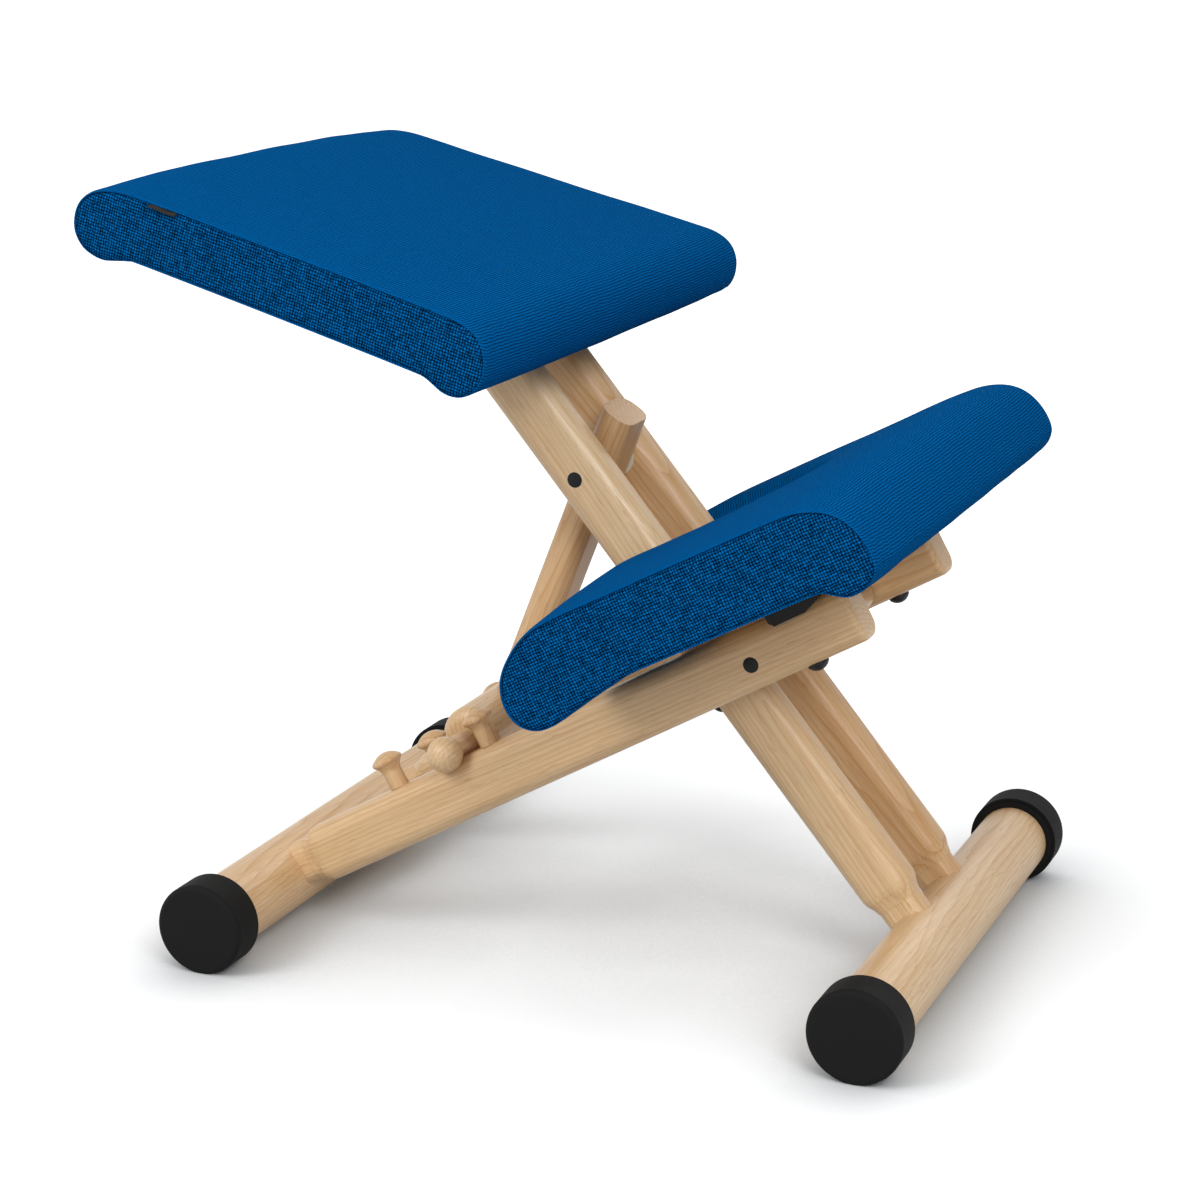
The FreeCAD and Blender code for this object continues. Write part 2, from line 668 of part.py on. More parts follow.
def pad_board_blank(extra=0.0):
    """A U-shaped board, whose two arms lie each side of the notch."""
    rear = -PAD_LENGTH / 2 + PAD_REAR_MARGIN + BOARD_END_MARGIN - extra
    front = PAD_LENGTH / 2 - PAD_FRONT_MARGIN - BOARD_END_MARGIN + extra
    sides = [w / 2 - BOARD_SIDE_MARGIN + extra for w in (PAD_WIDTH, PAD_FRONT_WIDTH)]
    board = board_plan((rear, front), sides, extra)
    r = NOTCH_WIDTH / 2 + BOARD_NOTCH_MARGIN - extra
    centre = NOTCH_TIP + BOARD_NOTCH_MARGIN - extra - r
    slot = box(-PAD_LENGTH, centre, -r, r, -PAD_LENGTH, PAD_LENGTH)
    slot = slot.fuse(Part.makeCylinder(r, 2 * PAD_LENGTH, V(centre, 0, -PAD_LENGTH), V(0, 0, 1)))
    return board.cut(slot)


def knee_pad_cushion():
    def profile(crown, bulge, y):
        margins = (PAD_REAR_MARGIN, PAD_FRONT_MARGIN)
        return roll_profile(PAD_LENGTH, PAD_THICKNESS, PAD_ROLL_DROP, PAD_TOP_RADIUS,
                            PAD_HEEL_RADIUS, margins, crown, bulge, y)
    body = cushion_body(PAD_WIDTH, PAD_FRONT_WIDTH, PAD_LENGTH, PAD_CROWN, profile)
    body = body.cut(notch_tool(0, -PAD_THICKNESS, PAD_THICKNESS))
    body = on_pad(body.cut(pad_board_blank(GLUE_GAP)))
    for side in SIDES:
        body = body.cut(tee_nut_room(side))
    return body


def pad_plane_rise(station):
    """The height of the pad's underside above the knee beams' axis at a station along them."""
    return PAD_HEIGHT - (station - PAD_STATION) * math.tan(math.radians(PAD_TILT_BACK))


def knee_pad_board():
    board = on_pad(pad_board_blank())
    for side in SIDES:
        board = board.cut(tee_nut(side, GLUE_GAP))
        board = board.cut(on_knee_frame(pad_bolt_shank(side, GLUE_GAP)))
    return board


def pad_board_top(extra=0.0):
    """How far the top of the pad's board is above the beams' axis, where the bolts are."""
    return pad_plane_rise(PAD_BOLT_STATION) + BOARD_THICKNESS + extra


def tee_nut(side, extra=0.0):
    """A flanged nut in the board, square to the knee beams as its bolt is."""
    y = SIDES[side] * KNEE_BEAM_OFFSET_Y
    top = pad_board_top()
    tilt_room = TEE_NUT_D / 2 * math.tan(math.radians(PAD_TILT_BACK))
    flange = Part.makeCylinder(TEE_NUT_D / 2 + extra, TEE_NUT_FLANGE + tilt_room + extra,
                               V(PAD_BOLT_STATION, y, top - tilt_room), V(0, 0, 1))
    barrel = Part.makeCylinder(TEE_NUT_BARREL_D / 2 + extra, TEE_NUT_BARREL,
                               V(PAD_BOLT_STATION, y, top - TEE_NUT_BARREL), V(0, 0, 1))
    nut = flange.fuse(barrel).removeSplitter()
    if extra == 0.0:
        nut = nut.cut(pad_bolt_shank(side, GLUE_GAP))
    return on_knee_frame(nut)


def tee_nut_room(side):
    y = SIDES[side] * KNEE_BEAM_OFFSET_Y
    start = V(PAD_BOLT_STATION, y, pad_board_top(-TEE_NUT_FLANGE))
    height = 3 * TEE_NUT_FLANGE + SOFT_CLEARANCE
    return on_knee_frame(Part.makeCylinder(TEE_NUT_D / 2 + GLUE_GAP, height, start, V(0, 0, 1)))


def pad_bolt_shank(side, extra=0.0):
    y = SIDES[side] * KNEE_BEAM_OFFSET_Y
    length = BEAM_DEPTH / 2 + pad_board_top() + extra
    start = V(PAD_BOLT_STATION, y, -BEAM_DEPTH / 2)
    return Part.makeCylinder(BOLT_D / 2 + extra, length, start, V(0, 0, 1))


def pad_bolt(side):
    y = SIDES[side] * KNEE_BEAM_OFFSET_Y
    head = dome(V(PAD_BOLT_STATION, y, -BEAM_DEPTH / 2), V(0, 0, -1))
    return on_knee_frame(pad_bolt_shank(side).fuse(head).removeSplitter())


def pad_saddle(side):
    """A moulded spacer between beam and board, whose cheeks hug the top of the beam."""
    y = SIDES[side] * KNEE_BEAM_OFFSET_Y
    half = BEAM_WIDTH / 2 + SADDLE_WALL
    rear, front = SADDLE_STATION - SADDLE_LENGTH / 2, SADDLE_STATION + SADDLE_LENGTH / 2
    low = BEAM_DEPTH / 2 - SADDLE_CHEEK
    outline = [
        (rear, low + SADDLE_WALL), (rear + SADDLE_WALL, low),
        (rear + SADDLE_LENGTH * 0.55, low), (rear + SADDLE_LENGTH * 0.74, low + SADDLE_CHEEK * 0.6),
        (front, BEAM_DEPTH / 2 + SADDLE_WALL),
        (front, pad_plane_rise(front)), (rear, pad_plane_rise(rear)),
    ]
    points = [V(p, y - half, q) for p, q in outline]
    block = Part.Face(Part.makePolygon(points + points[:1])).extrude(V(0, 2 * half, 0))
    beam = prism(rear - BEAM_DEPTH, front + BEAM_DEPTH, BEAM_DEPTH, BEAM_WIDTH, KNEE_BEAM_CORNER, y)
    block = block.cut(beam).cut(bolt_hole(PAD_BOLT_STATION, y))
    return on_knee_frame(block)


def bracket_outline_x():
    """Where the bracket starts and ends along the seat, from where the beam's axis meets it."""
    return SEAT_SET_BACK - BRACKET_LENGTH / 2, SEAT_SET_BACK + BRACKET_LENGTH / 2


def seat_bracket(side):
    """A folded plate: a cheek on the beam's inner face and a flange under the seat board."""
    x0, x1 = bracket_outline_x()
    inner = SEAT_INNER_FACE - BRACKET_THICKNESS
    slope = 1 / math.tan(math.radians(SEAT_BEAM_ANGLE + SEAT_TILT - 2 * SEAT_TILT))
    shift = BRACKET_DROP * slope
    corners = [(x0, 0), (x1, 0), (x1 + shift * 0.8, -BRACKET_DROP), (x0 + shift * 1.2, -BRACKET_DROP)]
    y0, y1 = side_span(side, inner, SEAT_INNER_FACE)
    points = [V(p, y0, q) for p, q in corners]
    cheek = Part.Face(Part.makePolygon(points + points[:1])).extrude(V(0, y1 - y0, 0))
    flange = box(x0, x1, *side_span(side, inner - BRACKET_FLANGE, inner), -BRACKET_THICKNESS, 0)
    plate = on_seat(cheek.fuse(flange).removeSplitter())
    return plate.cut(bracket_screw_shanks(side, GLUE_GAP))


def bracket_screw_places(side):
    """Each screw's place and direction on the seat: two up into the board, two into the beam."""
    x0, x1 = bracket_outline_x()
    inner = SEAT_INNER_FACE - BRACKET_THICKNESS
    flange_y = SIDES[side] * (inner - BRACKET_FLANGE / 2)
    cheek_y = SIDES[side] * inner
    run = BRACKET_DROP * 0.5
    places = [(V(x, flange_y, -BRACKET_THICKNESS), V(0, 0, 1)) for x in
              (x0 + BRACKET_LENGTH * 0.2, x1 - BRACKET_LENGTH * 0.2)]
    for share in (0.38, 0.62):
        x = x0 + BRACKET_LENGTH * share + run * 0.75
        places.append((V(x, cheek_y, -run), V(0, SIDES[side], 0)))
    return places


def bracket_screw_shanks(side, extra=0.0):
    shanks = [Part.makeCylinder(SCREW_D / 2 + extra, SCREW_GRIP + BRACKET_THICKNESS + extra, p, d)
              for p, d in bracket_screw_places(side)]
    return on_seat(Part.makeCompound(shanks))


def bracket_screws():
    """The pan-head wood screws of both brackets."""
    solids = []
    for side in SIDES:
        for place, direction in bracket_screw_places(side):
            r, h = SCREW_HEAD_D / 2, SCREW_HEAD_HEIGHT
            outline = [(0, 0), (r, 0), cap_arc(r, 0, h)]
            head = revolved(outline, place, direction * -1)
            shank = Part.makeCylinder(SCREW_D / 2, SCREW_GRIP + BRACKET_THICKNESS, place, direction)
            solids.append(head.fuse(shank).removeSplitter())
    return on_seat(Part.makeCompound(solids))


def seat_beam_with_screw_holes(side):
    return seat_beam(side).cut(bracket_screw_shanks(side, GLUE_GAP))


def knee_frame_nodes():
    offsets = [SIDES[side] * KNEE_BEAM_OFFSET_Y for side in SIDES]
    nodes = {"rear_rail": foot_rail(0, [knee_neck(y, GLUE_GAP) for y in offsets])}
    for side in SIDES:
        nodes["rear_cap_" + side] = foot_cap(0, side)
        nodes["knee_beam_" + side] = knee_beam(side)
        nodes["pivot_plug_" + side] = plug(PIVOT, side, KNEE_OUTER_FACE)
        nodes["pad_saddle_" + side] = pad_saddle(side)
        nodes["pad_bolt_" + side] = pad_bolt(side)
        nodes["pad_tee_nut_" + side] = tee_nut(side)
        for index in range(PEG_COUNT):
            nodes["peg_%s_%s" % (ORDER_NAMES[index], side)] = peg(index, side)
    nodes["knee_pad_board"] = knee_pad_board()
    nodes["knee_pad_cushion"] = knee_pad_cushion()
    return nodes


def seat_frame_nodes():
    offsets = [SIDES[side] * SEAT_BEAM_OFFSET_Y for side in SIDES]
    nodes = {"front_rail": foot_rail(FOOT_SPACING, [seat_neck(y, GLUE_GAP) for y in offsets])}
    for side in SIDES:
        nodes["front_cap_" + side] = foot_cap(FOOT_SPACING, side)
        nodes["seat_beam_" + side] = seat_beam_with_screw_holes(side)
        nodes["cross_rail_bolt_" + side] = cross_rail_bolt(side)
        nodes["pivot_pin_" + side] = pivot_pin(side)
        nodes["pivot_washer_" + side] = pivot_washer(side)
        nodes["strut_washer_" + side] = strut_washer(side)
        nodes["strut_bolt_plug_" + side] = plug(HINGE, side, SEAT_OUTER_FACE)
        nodes["seat_bracket_" + side] = seat_bracket(side)
    nodes["cross_rail"] = cross_rail()
    nodes["strut_bolt"] = strut_bolt()
    nodes["bracket_screws"] = bracket_screws()
    nodes["seat_board"] = seat_board()
    nodes["seat_cushion"] = seat_cushion()
    return nodes


def strut_nodes():
    nodes = {"strut": strut(), "strut_roller": roller(), "strut_crossbar": crossbar()}
    for side in SIDES:
        nodes["crossbar_ball_" + side] = crossbar_ball(side)
    return nodes


def write_parts():
    """Move the chair so that its bounding box is centred on the origin, and write every node."""
    os.makedirs("parts", exist_ok=True)
    nodes = {}
    for group in (knee_frame_nodes(), seat_frame_nodes(), strut_nodes()):
        nodes.update(group)
    boxes = [shape.optimalBoundingBox(False) for shape in nodes.values()]
    middle = (min(b.XMin for b in boxes) + max(b.XMax for b in boxes)) / 2
    for name, shape in nodes.items():
        shape.translate(V(-middle, 0, 0))
        shape.exportStep("parts/" + name + ".step")
    print("middle %.4f" % middle)
    for label, spot in (("pivot", PIVOT), ("hinge", HINGE), ("bar", BAR)):
        print("%s %.4f %.4f" % (label, spot.x - middle, spot.z))
    print("front rail %.4f, rear rail %.4f" % (FOOT_SPACING - middle, -middle))
    return nodes


write_parts()
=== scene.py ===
import math

import bmesh
import bpy
import numpy as np
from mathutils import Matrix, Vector, noise


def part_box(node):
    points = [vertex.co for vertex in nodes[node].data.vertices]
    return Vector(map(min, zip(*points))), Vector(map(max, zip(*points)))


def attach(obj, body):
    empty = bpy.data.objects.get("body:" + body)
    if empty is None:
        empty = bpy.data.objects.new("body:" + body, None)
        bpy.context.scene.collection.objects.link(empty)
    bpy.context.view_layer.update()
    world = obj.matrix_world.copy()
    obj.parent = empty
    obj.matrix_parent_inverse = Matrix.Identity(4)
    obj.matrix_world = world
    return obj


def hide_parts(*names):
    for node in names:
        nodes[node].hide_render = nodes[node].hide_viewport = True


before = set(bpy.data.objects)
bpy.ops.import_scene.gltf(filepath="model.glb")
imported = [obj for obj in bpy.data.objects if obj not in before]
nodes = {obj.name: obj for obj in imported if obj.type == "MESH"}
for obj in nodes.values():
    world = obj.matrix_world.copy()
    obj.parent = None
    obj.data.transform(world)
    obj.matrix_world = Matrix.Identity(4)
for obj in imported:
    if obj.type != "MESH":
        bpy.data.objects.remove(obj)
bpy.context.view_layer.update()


# Foot rails
# Two round rails of solid oak, turned and given a satin lacquer. The frames stand on them, and the
# beams' necks are glued into their sides. The grain runs along each rail.
RAIL_TILT = 0.035

OAK_PALE = "#e2c59b"
OAK_LATE = "#bf8f5c"
OAK_PORE = "#94683e"
OAK_RING = 0.0034
OAK_PORE_WIDTH = 0.0006
OAK_PORE_LENGTH = 0.014
OAK_WANDER = 0.0132
OAK_FIBRES_PER_METRE = 620.0


def linear(hex_colour):
    """An sRGB hex colour as the linear colour that the shaders work in."""
    parts = [int(hex_colour[i:i + 2], 16) / 255 for i in (1, 3, 5)]
    return [c / 12.92 if c <= 0.04045 else ((c + 0.055) / 1.055) ** 2.4 for c in parts] + [1.0]


def add(material, kind, sockets=(), **settings):
    """Add one node with its settings. A socket that is given another socket is linked to it."""
    node = material.node_tree.nodes.new(kind)
    for name, value in settings.items():
        setattr(node, name, value)
    for name, value in dict(sockets).items():
        if isinstance(value, bpy.types.NodeSocket):
            material.node_tree.links.new(value, node.inputs[name])
        else:
            node.inputs[name].default_value = value
    return node


def new_material(name):
    """An empty material with its output, to which the caller links a shader."""
    material = bpy.data.materials.new(name)
    material.use_nodes = True
    material.node_tree.nodes.clear()
    return material


def oak(name, along, heart, shade=0.0):
    """Satin oak. Pale ground, growth rings round the tree's heart, and short dark pores along them."""
    m = new_material(name)
    turn = Vector(along).normalized().rotation_difference(Vector((1, 0, 0)))
    start = -(turn @ Vector(heart))
    place = add(m, "ShaderNodeTexCoord").outputs["Object"]
    grain = add(m, "ShaderNodeMapping", {"Vector": place, "Rotation": turn.to_euler(),
                                         "Location": start}).outputs[0]
    long_grain = add(m, "ShaderNodeMapping", {"Vector": grain, "Scale": (0.16, 1, 1)}).outputs[0]
    wander = add(m, "ShaderNodeTexNoise", {"Vector": long_grain, "Scale": 26.0, "Detail": 3.0,
                                           "Roughness": 0.55}).outputs["Fac"]
    across = add(m, "ShaderNodeVectorMath", {0: grain, 1: (0, 1, 1)}, operation="MULTIPLY").outputs[0]
    reach = add(m, "ShaderNodeVectorMath", {0: across}, operation="LENGTH").outputs["Value"]
    bent = add(m, "ShaderNodeMath", {0: wander, 1: OAK_WANDER, 2: reach},
               operation="MULTIPLY_ADD").outputs[0]
    count = add(m, "ShaderNodeMath", {0: bent, 1: OAK_RING}, operation="DIVIDE").outputs[0]
    ring = add(m, "ShaderNodeMath", {0: count}, operation="FRACT").outputs[0]
    late = add(m, "ShaderNodeMath", {0: ring, 1: 3.2}, operation="POWER").outputs[0]
    fibre = add(m, "ShaderNodeMapping", {"Vector": grain, "Scale": (0.02, 1, 1)}).outputs[0]
    fine = add(m, "ShaderNodeTexNoise", {"Vector": fibre, "Scale": OAK_FIBRES_PER_METRE,
                                         "Detail": 2.0}).outputs["Fac"]
    slender = OAK_PORE_WIDTH / OAK_PORE_LENGTH
    pore_map = add(m, "ShaderNodeMapping", {"Vector": grain, "Scale": (slender, 1, 1)}).outputs[0]
    pore = add(m, "ShaderNodeTexNoise", {"Vector": pore_map, "Scale": 0.8 / OAK_PORE_WIDTH,
                                         "Detail": 1.0}).outputs["Fac"]
    pore = add(m, "ShaderNodeMapRange", {"Value": pore, "From Min": 0.60,
                                         "From Max": 0.72}).outputs[0]
    early = add(m, "ShaderNodeMapRange", {"Value": ring, "From Min": 0.7, "From Max": 0.1,
                                          "To Min": 0.25, "To Max": 1.0}).outputs[0]
    pore = add(m, "ShaderNodeMath", {0: pore, 1: early}, operation="MULTIPLY").outputs[0]
    broad = add(m, "ShaderNodeTexNoise", {"Vector": long_grain, "Scale": 9.0,
                                          "Detail": 1.0}).outputs["Fac"]
    blend = shade
    for layer, share in ((late, 0.30), (fine, 0.62), (broad, 0.95)):
        blend = add(m, "ShaderNodeMath", {0: layer, 1: share, 2: blend},
                    operation="MULTIPLY_ADD").outputs[0]
    blend = add(m, "ShaderNodeMapRange", {"Value": blend, "From Min": 0.52,
                                          "From Max": 1.32}).outputs[0]
    ground = add(m, "ShaderNodeMix", {0: blend, 6: linear(OAK_PALE), 7: linear(OAK_LATE)},
                 data_type="RGBA").outputs[2]
    weight = add(m, "ShaderNodeMath", {0: pore, 1: 0.5}, operation="MULTIPLY").outputs[0]
    wood = add(m, "ShaderNodeMix", {0: weight, 6: ground, 7: linear(OAK_PORE)}, data_type="RGBA")
    rough = add(m, "ShaderNodeMapRange", {"Value": blend, "To Min": 0.34, "To Max": 0.46}).outputs[0]
    hollow = add(m, "ShaderNodeMath", {0: fine, 1: 0.3, 2: pore},
                 operation="MULTIPLY_ADD").outputs[0]
    relief = add(m, "ShaderNodeBump", {"Height": hollow, "Strength": 0.2, "Distance": 0.0002},
                 invert=True).outputs[0]
    shader = add(m, "ShaderNodeBsdfPrincipled", {"Base Color": wood.outputs[2], "Roughness": rough,
                                                 "Normal": relief, "IOR": 1.5})
    add(m, "ShaderNodeOutputMaterial", {"Surface": shader.outputs[0]})
    return m


def finish(material, *names):
    """Give CAD nodes a material in place of the plain one they were packed with."""
    for name in names:
        for place in nodes[name].material_slots:
            place.material = material


def middle(name):
    """The middle of a CAD node's box."""
    low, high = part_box(name)
    return (low + high) / 2


for rail, depth, shade in (("rear_rail", 0.046, 0.05), ("front_rail", 0.062, -0.05)):
    heart = middle(rail) + Vector((0.02, 0, -depth))
    finish(oak("oak_" + rail, (RAIL_TILT, 1, 0.6 * RAIL_TILT), heart, shade), rail)


# Rubber cups
# Black moulded rubber cups pushed over the ends of both rails, each with a stepped collar. They stop
# the chair sliding. Matte and slightly pebbled, with a dull edge highlight.
RUBBER = "#1a1a1a"
RUBBER_DULL = "#171717"
RUBBER_PEBBLE = 0.0011

rubber = new_material("rubber_moulded_matte")
spot = add(rubber, "ShaderNodeTexCoord").outputs["Object"]
pebble = add(rubber, "ShaderNodeTexNoise", {"Vector": spot, "Scale": 1 / RUBBER_PEBBLE,
                                            "Detail": 2.0}).outputs["Fac"]
cloud = add(rubber, "ShaderNodeTexNoise", {"Vector": spot, "Scale": 45.0,
                                           "Detail": 2.0}).outputs["Fac"]
dusty = add(rubber, "ShaderNodeMapRange", {"Value": cloud, "To Min": 0.62,
                                           "To Max": 0.82}).outputs[0]
relief = add(rubber, "ShaderNodeBump", {"Height": pebble, "Strength": 0.25,
                                        "Distance": 0.00025}).outputs[0]
tint = add(rubber, "ShaderNodeMix", {0: cloud, 6: linear(RUBBER_DULL), 7: linear(RUBBER)},
           data_type="RGBA")
shader = add(rubber, "ShaderNodeBsdfPrincipled", {"Base Color": tint.outputs[2], "Roughness": dusty,
                                                  "Normal": relief, "Specular IOR Level": 0.10})
add(rubber, "ShaderNodeOutputMaterial", {"Surface": shader.outputs[0]})
finish(rubber, "rear_cap_left", "rear_cap_right", "front_cap_left", "front_cap_right")


# Knee beams and seat beams
# Four oak beams of one rounded section. The outer pair carries the knee pad and the pegs, the inner
# pair the seat. Each has its own cut from the plank, so the rings meet its faces at other places.
KNEE_BEAM_ANGLE = math.radians(29.45)
SEAT_BEAM_ANGLE = math.radians(50.23)

for beam, angle, tilt, away, shade in (
        ("knee_beam_left", KNEE_BEAM_ANGLE, 0.030, (0.00, 0.030, -0.050), 0.02),
        ("knee_beam_right", KNEE_BEAM_ANGLE, -0.022, (0.02, -0.014, -0.036), 0.06),
        ("seat_beam_left", math.pi - SEAT_BEAM_ANGLE, 0.026, (0.03, 0.012, -0.045), 0.10),
        ("seat_beam_right", math.pi - SEAT_BEAM_ANGLE, -0.034, (0.01, -0.028, 0.040), 0.00)):
    run = (math.cos(angle + tilt), 0.6 * tilt, math.sin(angle + tilt))
    finish(oak("oak_" + beam, run, middle(beam) + Vector(away), shade), beam)


# Pegs
# Six turned oak pegs in two rows of three, glued into the tops of the knee beams. The grain runs up
# each stem, and the domed head shows end grain.
PEG_GRAIN = (-math.sin(KNEE_BEAM_ANGLE), 0.05, math.cos(KNEE_BEAM_ANGLE))

for number, peg in enumerate(sorted(n for n in nodes if n.startswith("peg_"))):
    heart = middle(peg) + Vector((0.011 - 0.004 * number, 0.013, 0.002))
    finish(oak("oak_" + peg, PEG_GRAIN, heart, 0.12 - 0.03 * number), peg)


# Strut, crossbar and cross rail
# An oak bar hangs between the seat beams, with a turned roller at its foot. A dowel with a ball on
# each end runs through the roller and lies between the pegs. A cross rail ties the seat beams.
STRUT_LEAN = math.radians(21.4)
STRUT_GRAIN = (math.sin(STRUT_LEAN), 0.02, math.cos(STRUT_LEAN))

for piece, name, along, away, shade in (
        ("strut", "oak_strut", STRUT_GRAIN, (0.03, 0.03, 0), 0.10),
        ("strut_roller", "oak_roller", (0.03, 1, 0.02), (0.03, 0, 0.02), 0.05),
        ("strut_crossbar", "oak_crossbar", (0.0, 1, 0.03), (0.012, 0, 0.01), 0.0),
        ("crossbar_ball_left", "oak_crossbar_ball_left", (0.06, 1, 0.1), (0.016, 0, 0.006), 0.04),
        ("crossbar_ball_right", "oak_crossbar_ball_right", (0.06, 1, 0.1), (0.016, 0, -0.004), 0.04),
        ("cross_rail", "oak_cross_rail", (0.02, 1, 0.0), (0.04, 0, 0.05), 0.08)):
    finish(oak(name, along, middle(piece) + Vector(away), shade), piece)


# Black fittings and washers
# The pad's saddles and the plugs over the pivots are moulded in black nylon with a fine spark
# texture. The domed bolts are steel, powder coated and a little glossier, and the washers plain nylon.
NYLON_BLACK = "#0e0e0f"
NYLON_PLAIN = "#d8d5c8"
POWDER_BLACK = "#0d0d0e"
SPARK = 0.0007
POWDER_GRIT = 0.0009
WASHER_GRIT = 0.0010


def moulded(name, colour, roughness, grit, depth):
    """A dark moulded or coated surface with a fine grit that breaks up its highlight."""
    m = new_material(name)
    at = add(m, "ShaderNodeTexCoord").outputs["Object"]
    speck = add(m, "ShaderNodeTexNoise", {"Vector": at, "Scale": 1 / grit,
                                          "Detail": 1.0}).outputs["Fac"]
    dull = add(m, "ShaderNodeMapRange", {"Value": speck, "To Min": roughness - 0.08,
                                         "To Max": roughness + 0.08}).outputs[0]
    bump = add(m, "ShaderNodeBump", {"Height": speck, "Strength": 0.4, "Distance": depth}).outputs[0]
    paint = add(m, "ShaderNodeBsdfPrincipled", {"Base Color": linear(colour), "Roughness": dull,
                                                "Normal": bump, "Specular IOR Level": 0.22})
    add(m, "ShaderNodeOutputMaterial", {"Surface": paint.outputs[0]})
    return m


nylon_black = moulded("nylon_black_spark_textured", NYLON_BLACK, 0.55, SPARK, 0.0002)
finish(nylon_black, "pad_saddle_left", "pad_saddle_right", "pivot_plug_left", "pivot_plug_right",
       "strut_bolt_plug_left", "strut_bolt_plug_right")
powder_black = moulded("steel_black_powder_coated", POWDER_BLACK, 0.42, POWDER_GRIT, 0.00012)
finish(powder_black, "pad_bolt_left", "pad_bolt_right", "cross_rail_bolt_left",
       "cross_rail_bolt_right")
nylon_plain = moulded("nylon_natural_washer", NYLON_PLAIN, 0.45, WASHER_GRIT, 0.0001)
finish(nylon_plain, "pivot_washer_left", "pivot_washer_right", "strut_washer_left",
       "strut_washer_right")


# Steel fittings
# Pivot pins, the strut's bolt, the tee nuts, the seat brackets and their woodscrews: steel, zinc
# plated. Even grey with faint rolling marks and a soft reflection.
ZINC = "#b9bcc0"
ZINC_DULL = "#a6a9ae"

zinc = new_material("steel_zinc_plated")
at = add(zinc, "ShaderNodeTexCoord").outputs["Object"]
rolled = add(zinc, "ShaderNodeMapping", {"Vector": at, "Scale": (0.08, 1, 1)}).outputs[0]
marks = add(zinc, "ShaderNodeTexNoise", {"Vector": rolled, "Scale": 900.0,
                                         "Detail": 2.0}).outputs["Fac"]
bloom = add(zinc, "ShaderNodeTexNoise", {"Vector": at, "Scale": 160.0, "Detail": 3.0}).outputs["Fac"]
dull = add(zinc, "ShaderNodeMapRange", {"Value": marks, "To Min": 0.28, "To Max": 0.46}).outputs[0]
tint = add(zinc, "ShaderNodeMix", {0: bloom, 6: linear(ZINC_DULL), 7: linear(ZINC)},
           data_type="RGBA")
relief = add(zinc, "ShaderNodeBump", {"Height": marks, "Strength": 0.15,
                                      "Distance": 0.0001}).outputs[0]
shader = add(zinc, "ShaderNodeBsdfPrincipled", {"Base Color": tint.outputs[2], "Roughness": dull,
                                                "Metallic": 1.0, "Normal": relief})
add(zinc, "ShaderNodeOutputMaterial", {"Surface": shader.outputs[0]})
finish(zinc, "pivot_pin_left", "pivot_pin_right", "strut_bolt", "pad_tee_nut_left",
       "pad_tee_nut_right", "seat_bracket_left", "seat_bracket_right", "bracket_screws")


# Boards under the cushions
# Birch plywood, sanded and left bare. The face is pale with faint grain across the chair, and the
# edge shows the plies as light and dark bands.
PLY_PALE = "#dcc39c"
PLY_DARK = "#9c7446"
PLY = 0.0015
BOARD = 0.012
SEAT_TILT = math.radians(14.87)
PAD_TILT = math.radians(-27.7)


def cushion_axes(tilt):
    """The cushion's own directions: forwards along it, and up out of it."""
    forward = Vector((math.cos(tilt), 0, -math.sin(tilt)))
    up = Vector((math.sin(tilt), 0, math.cos(tilt)))
    return forward, up


def board_underside(board, tilt):
    """The middle of a board's underside, from which its cushion is measured."""
    return middle(board) - cushion_axes(tilt)[1] * BOARD / 2


def plywood(name, board, tilt):
    """Bare birch plywood, its plies parallel to a board that leans by the tilt."""
    m = new_material(name)
    at = add(m, "ShaderNodeTexCoord").outputs["Object"]
    away = add(m, "ShaderNodeVectorMath", {0: at, 1: board_underside(board, tilt)},
               operation="SUBTRACT").outputs[0]
    flat = add(m, "ShaderNodeMapping", {"Vector": away, "Rotation": (0, -tilt, 0)}).outputs[0]
    height = add(m, "ShaderNodeSeparateXYZ", {0: flat}).outputs["Z"]
    layer = add(m, "ShaderNodeMath", {0: height, 1: PLY}, operation="DIVIDE").outputs[0]
    layer = add(m, "ShaderNodeMath", {0: layer, 1: 0.5}, operation="SUBTRACT").outputs[0]
    band = add(m, "ShaderNodeMath", {0: layer, 1: 1.0}, operation="PINGPONG").outputs[0]
    band = add(m, "ShaderNodeMapRange", {"Value": band, "From Min": 0.42,
                                         "From Max": 0.58}).outputs[0]
    streak = add(m, "ShaderNodeMapping", {"Vector": flat, "Scale": (1, 0.06, 1)}).outputs[0]
    grain = add(m, "ShaderNodeTexNoise", {"Vector": streak, "Scale": 240.0,
                                          "Detail": 3.0}).outputs["Fac"]
    shade = add(m, "ShaderNodeMath", {0: grain, 1: 0.5}, operation="MULTIPLY").outputs[0]
    shade = add(m, "ShaderNodeMath", {0: band, 1: 0.35, 2: shade},
                operation="MULTIPLY_ADD").outputs[0]
    tone = add(m, "ShaderNodeMix", {0: shade, 6: linear(PLY_PALE), 7: linear(PLY_DARK)},
               data_type="RGBA")
    bump = add(m, "ShaderNodeBump", {"Height": grain, "Strength": 0.2,
                                     "Distance": 0.0002}).outputs[0]
    wood = add(m, "ShaderNodeBsdfPrincipled", {"Base Color": tone.outputs[2], "Roughness": 0.62,
                                               "Normal": bump})
    add(m, "ShaderNodeOutputMaterial", {"Surface": wood.outputs[0]})
    return m


finish(plywood("plywood_birch_seat", "seat_board", SEAT_TILT), "seat_board")
finish(plywood("plywood_birch_knee_pad", "knee_pad_board", PAD_TILT), "knee_pad_board")


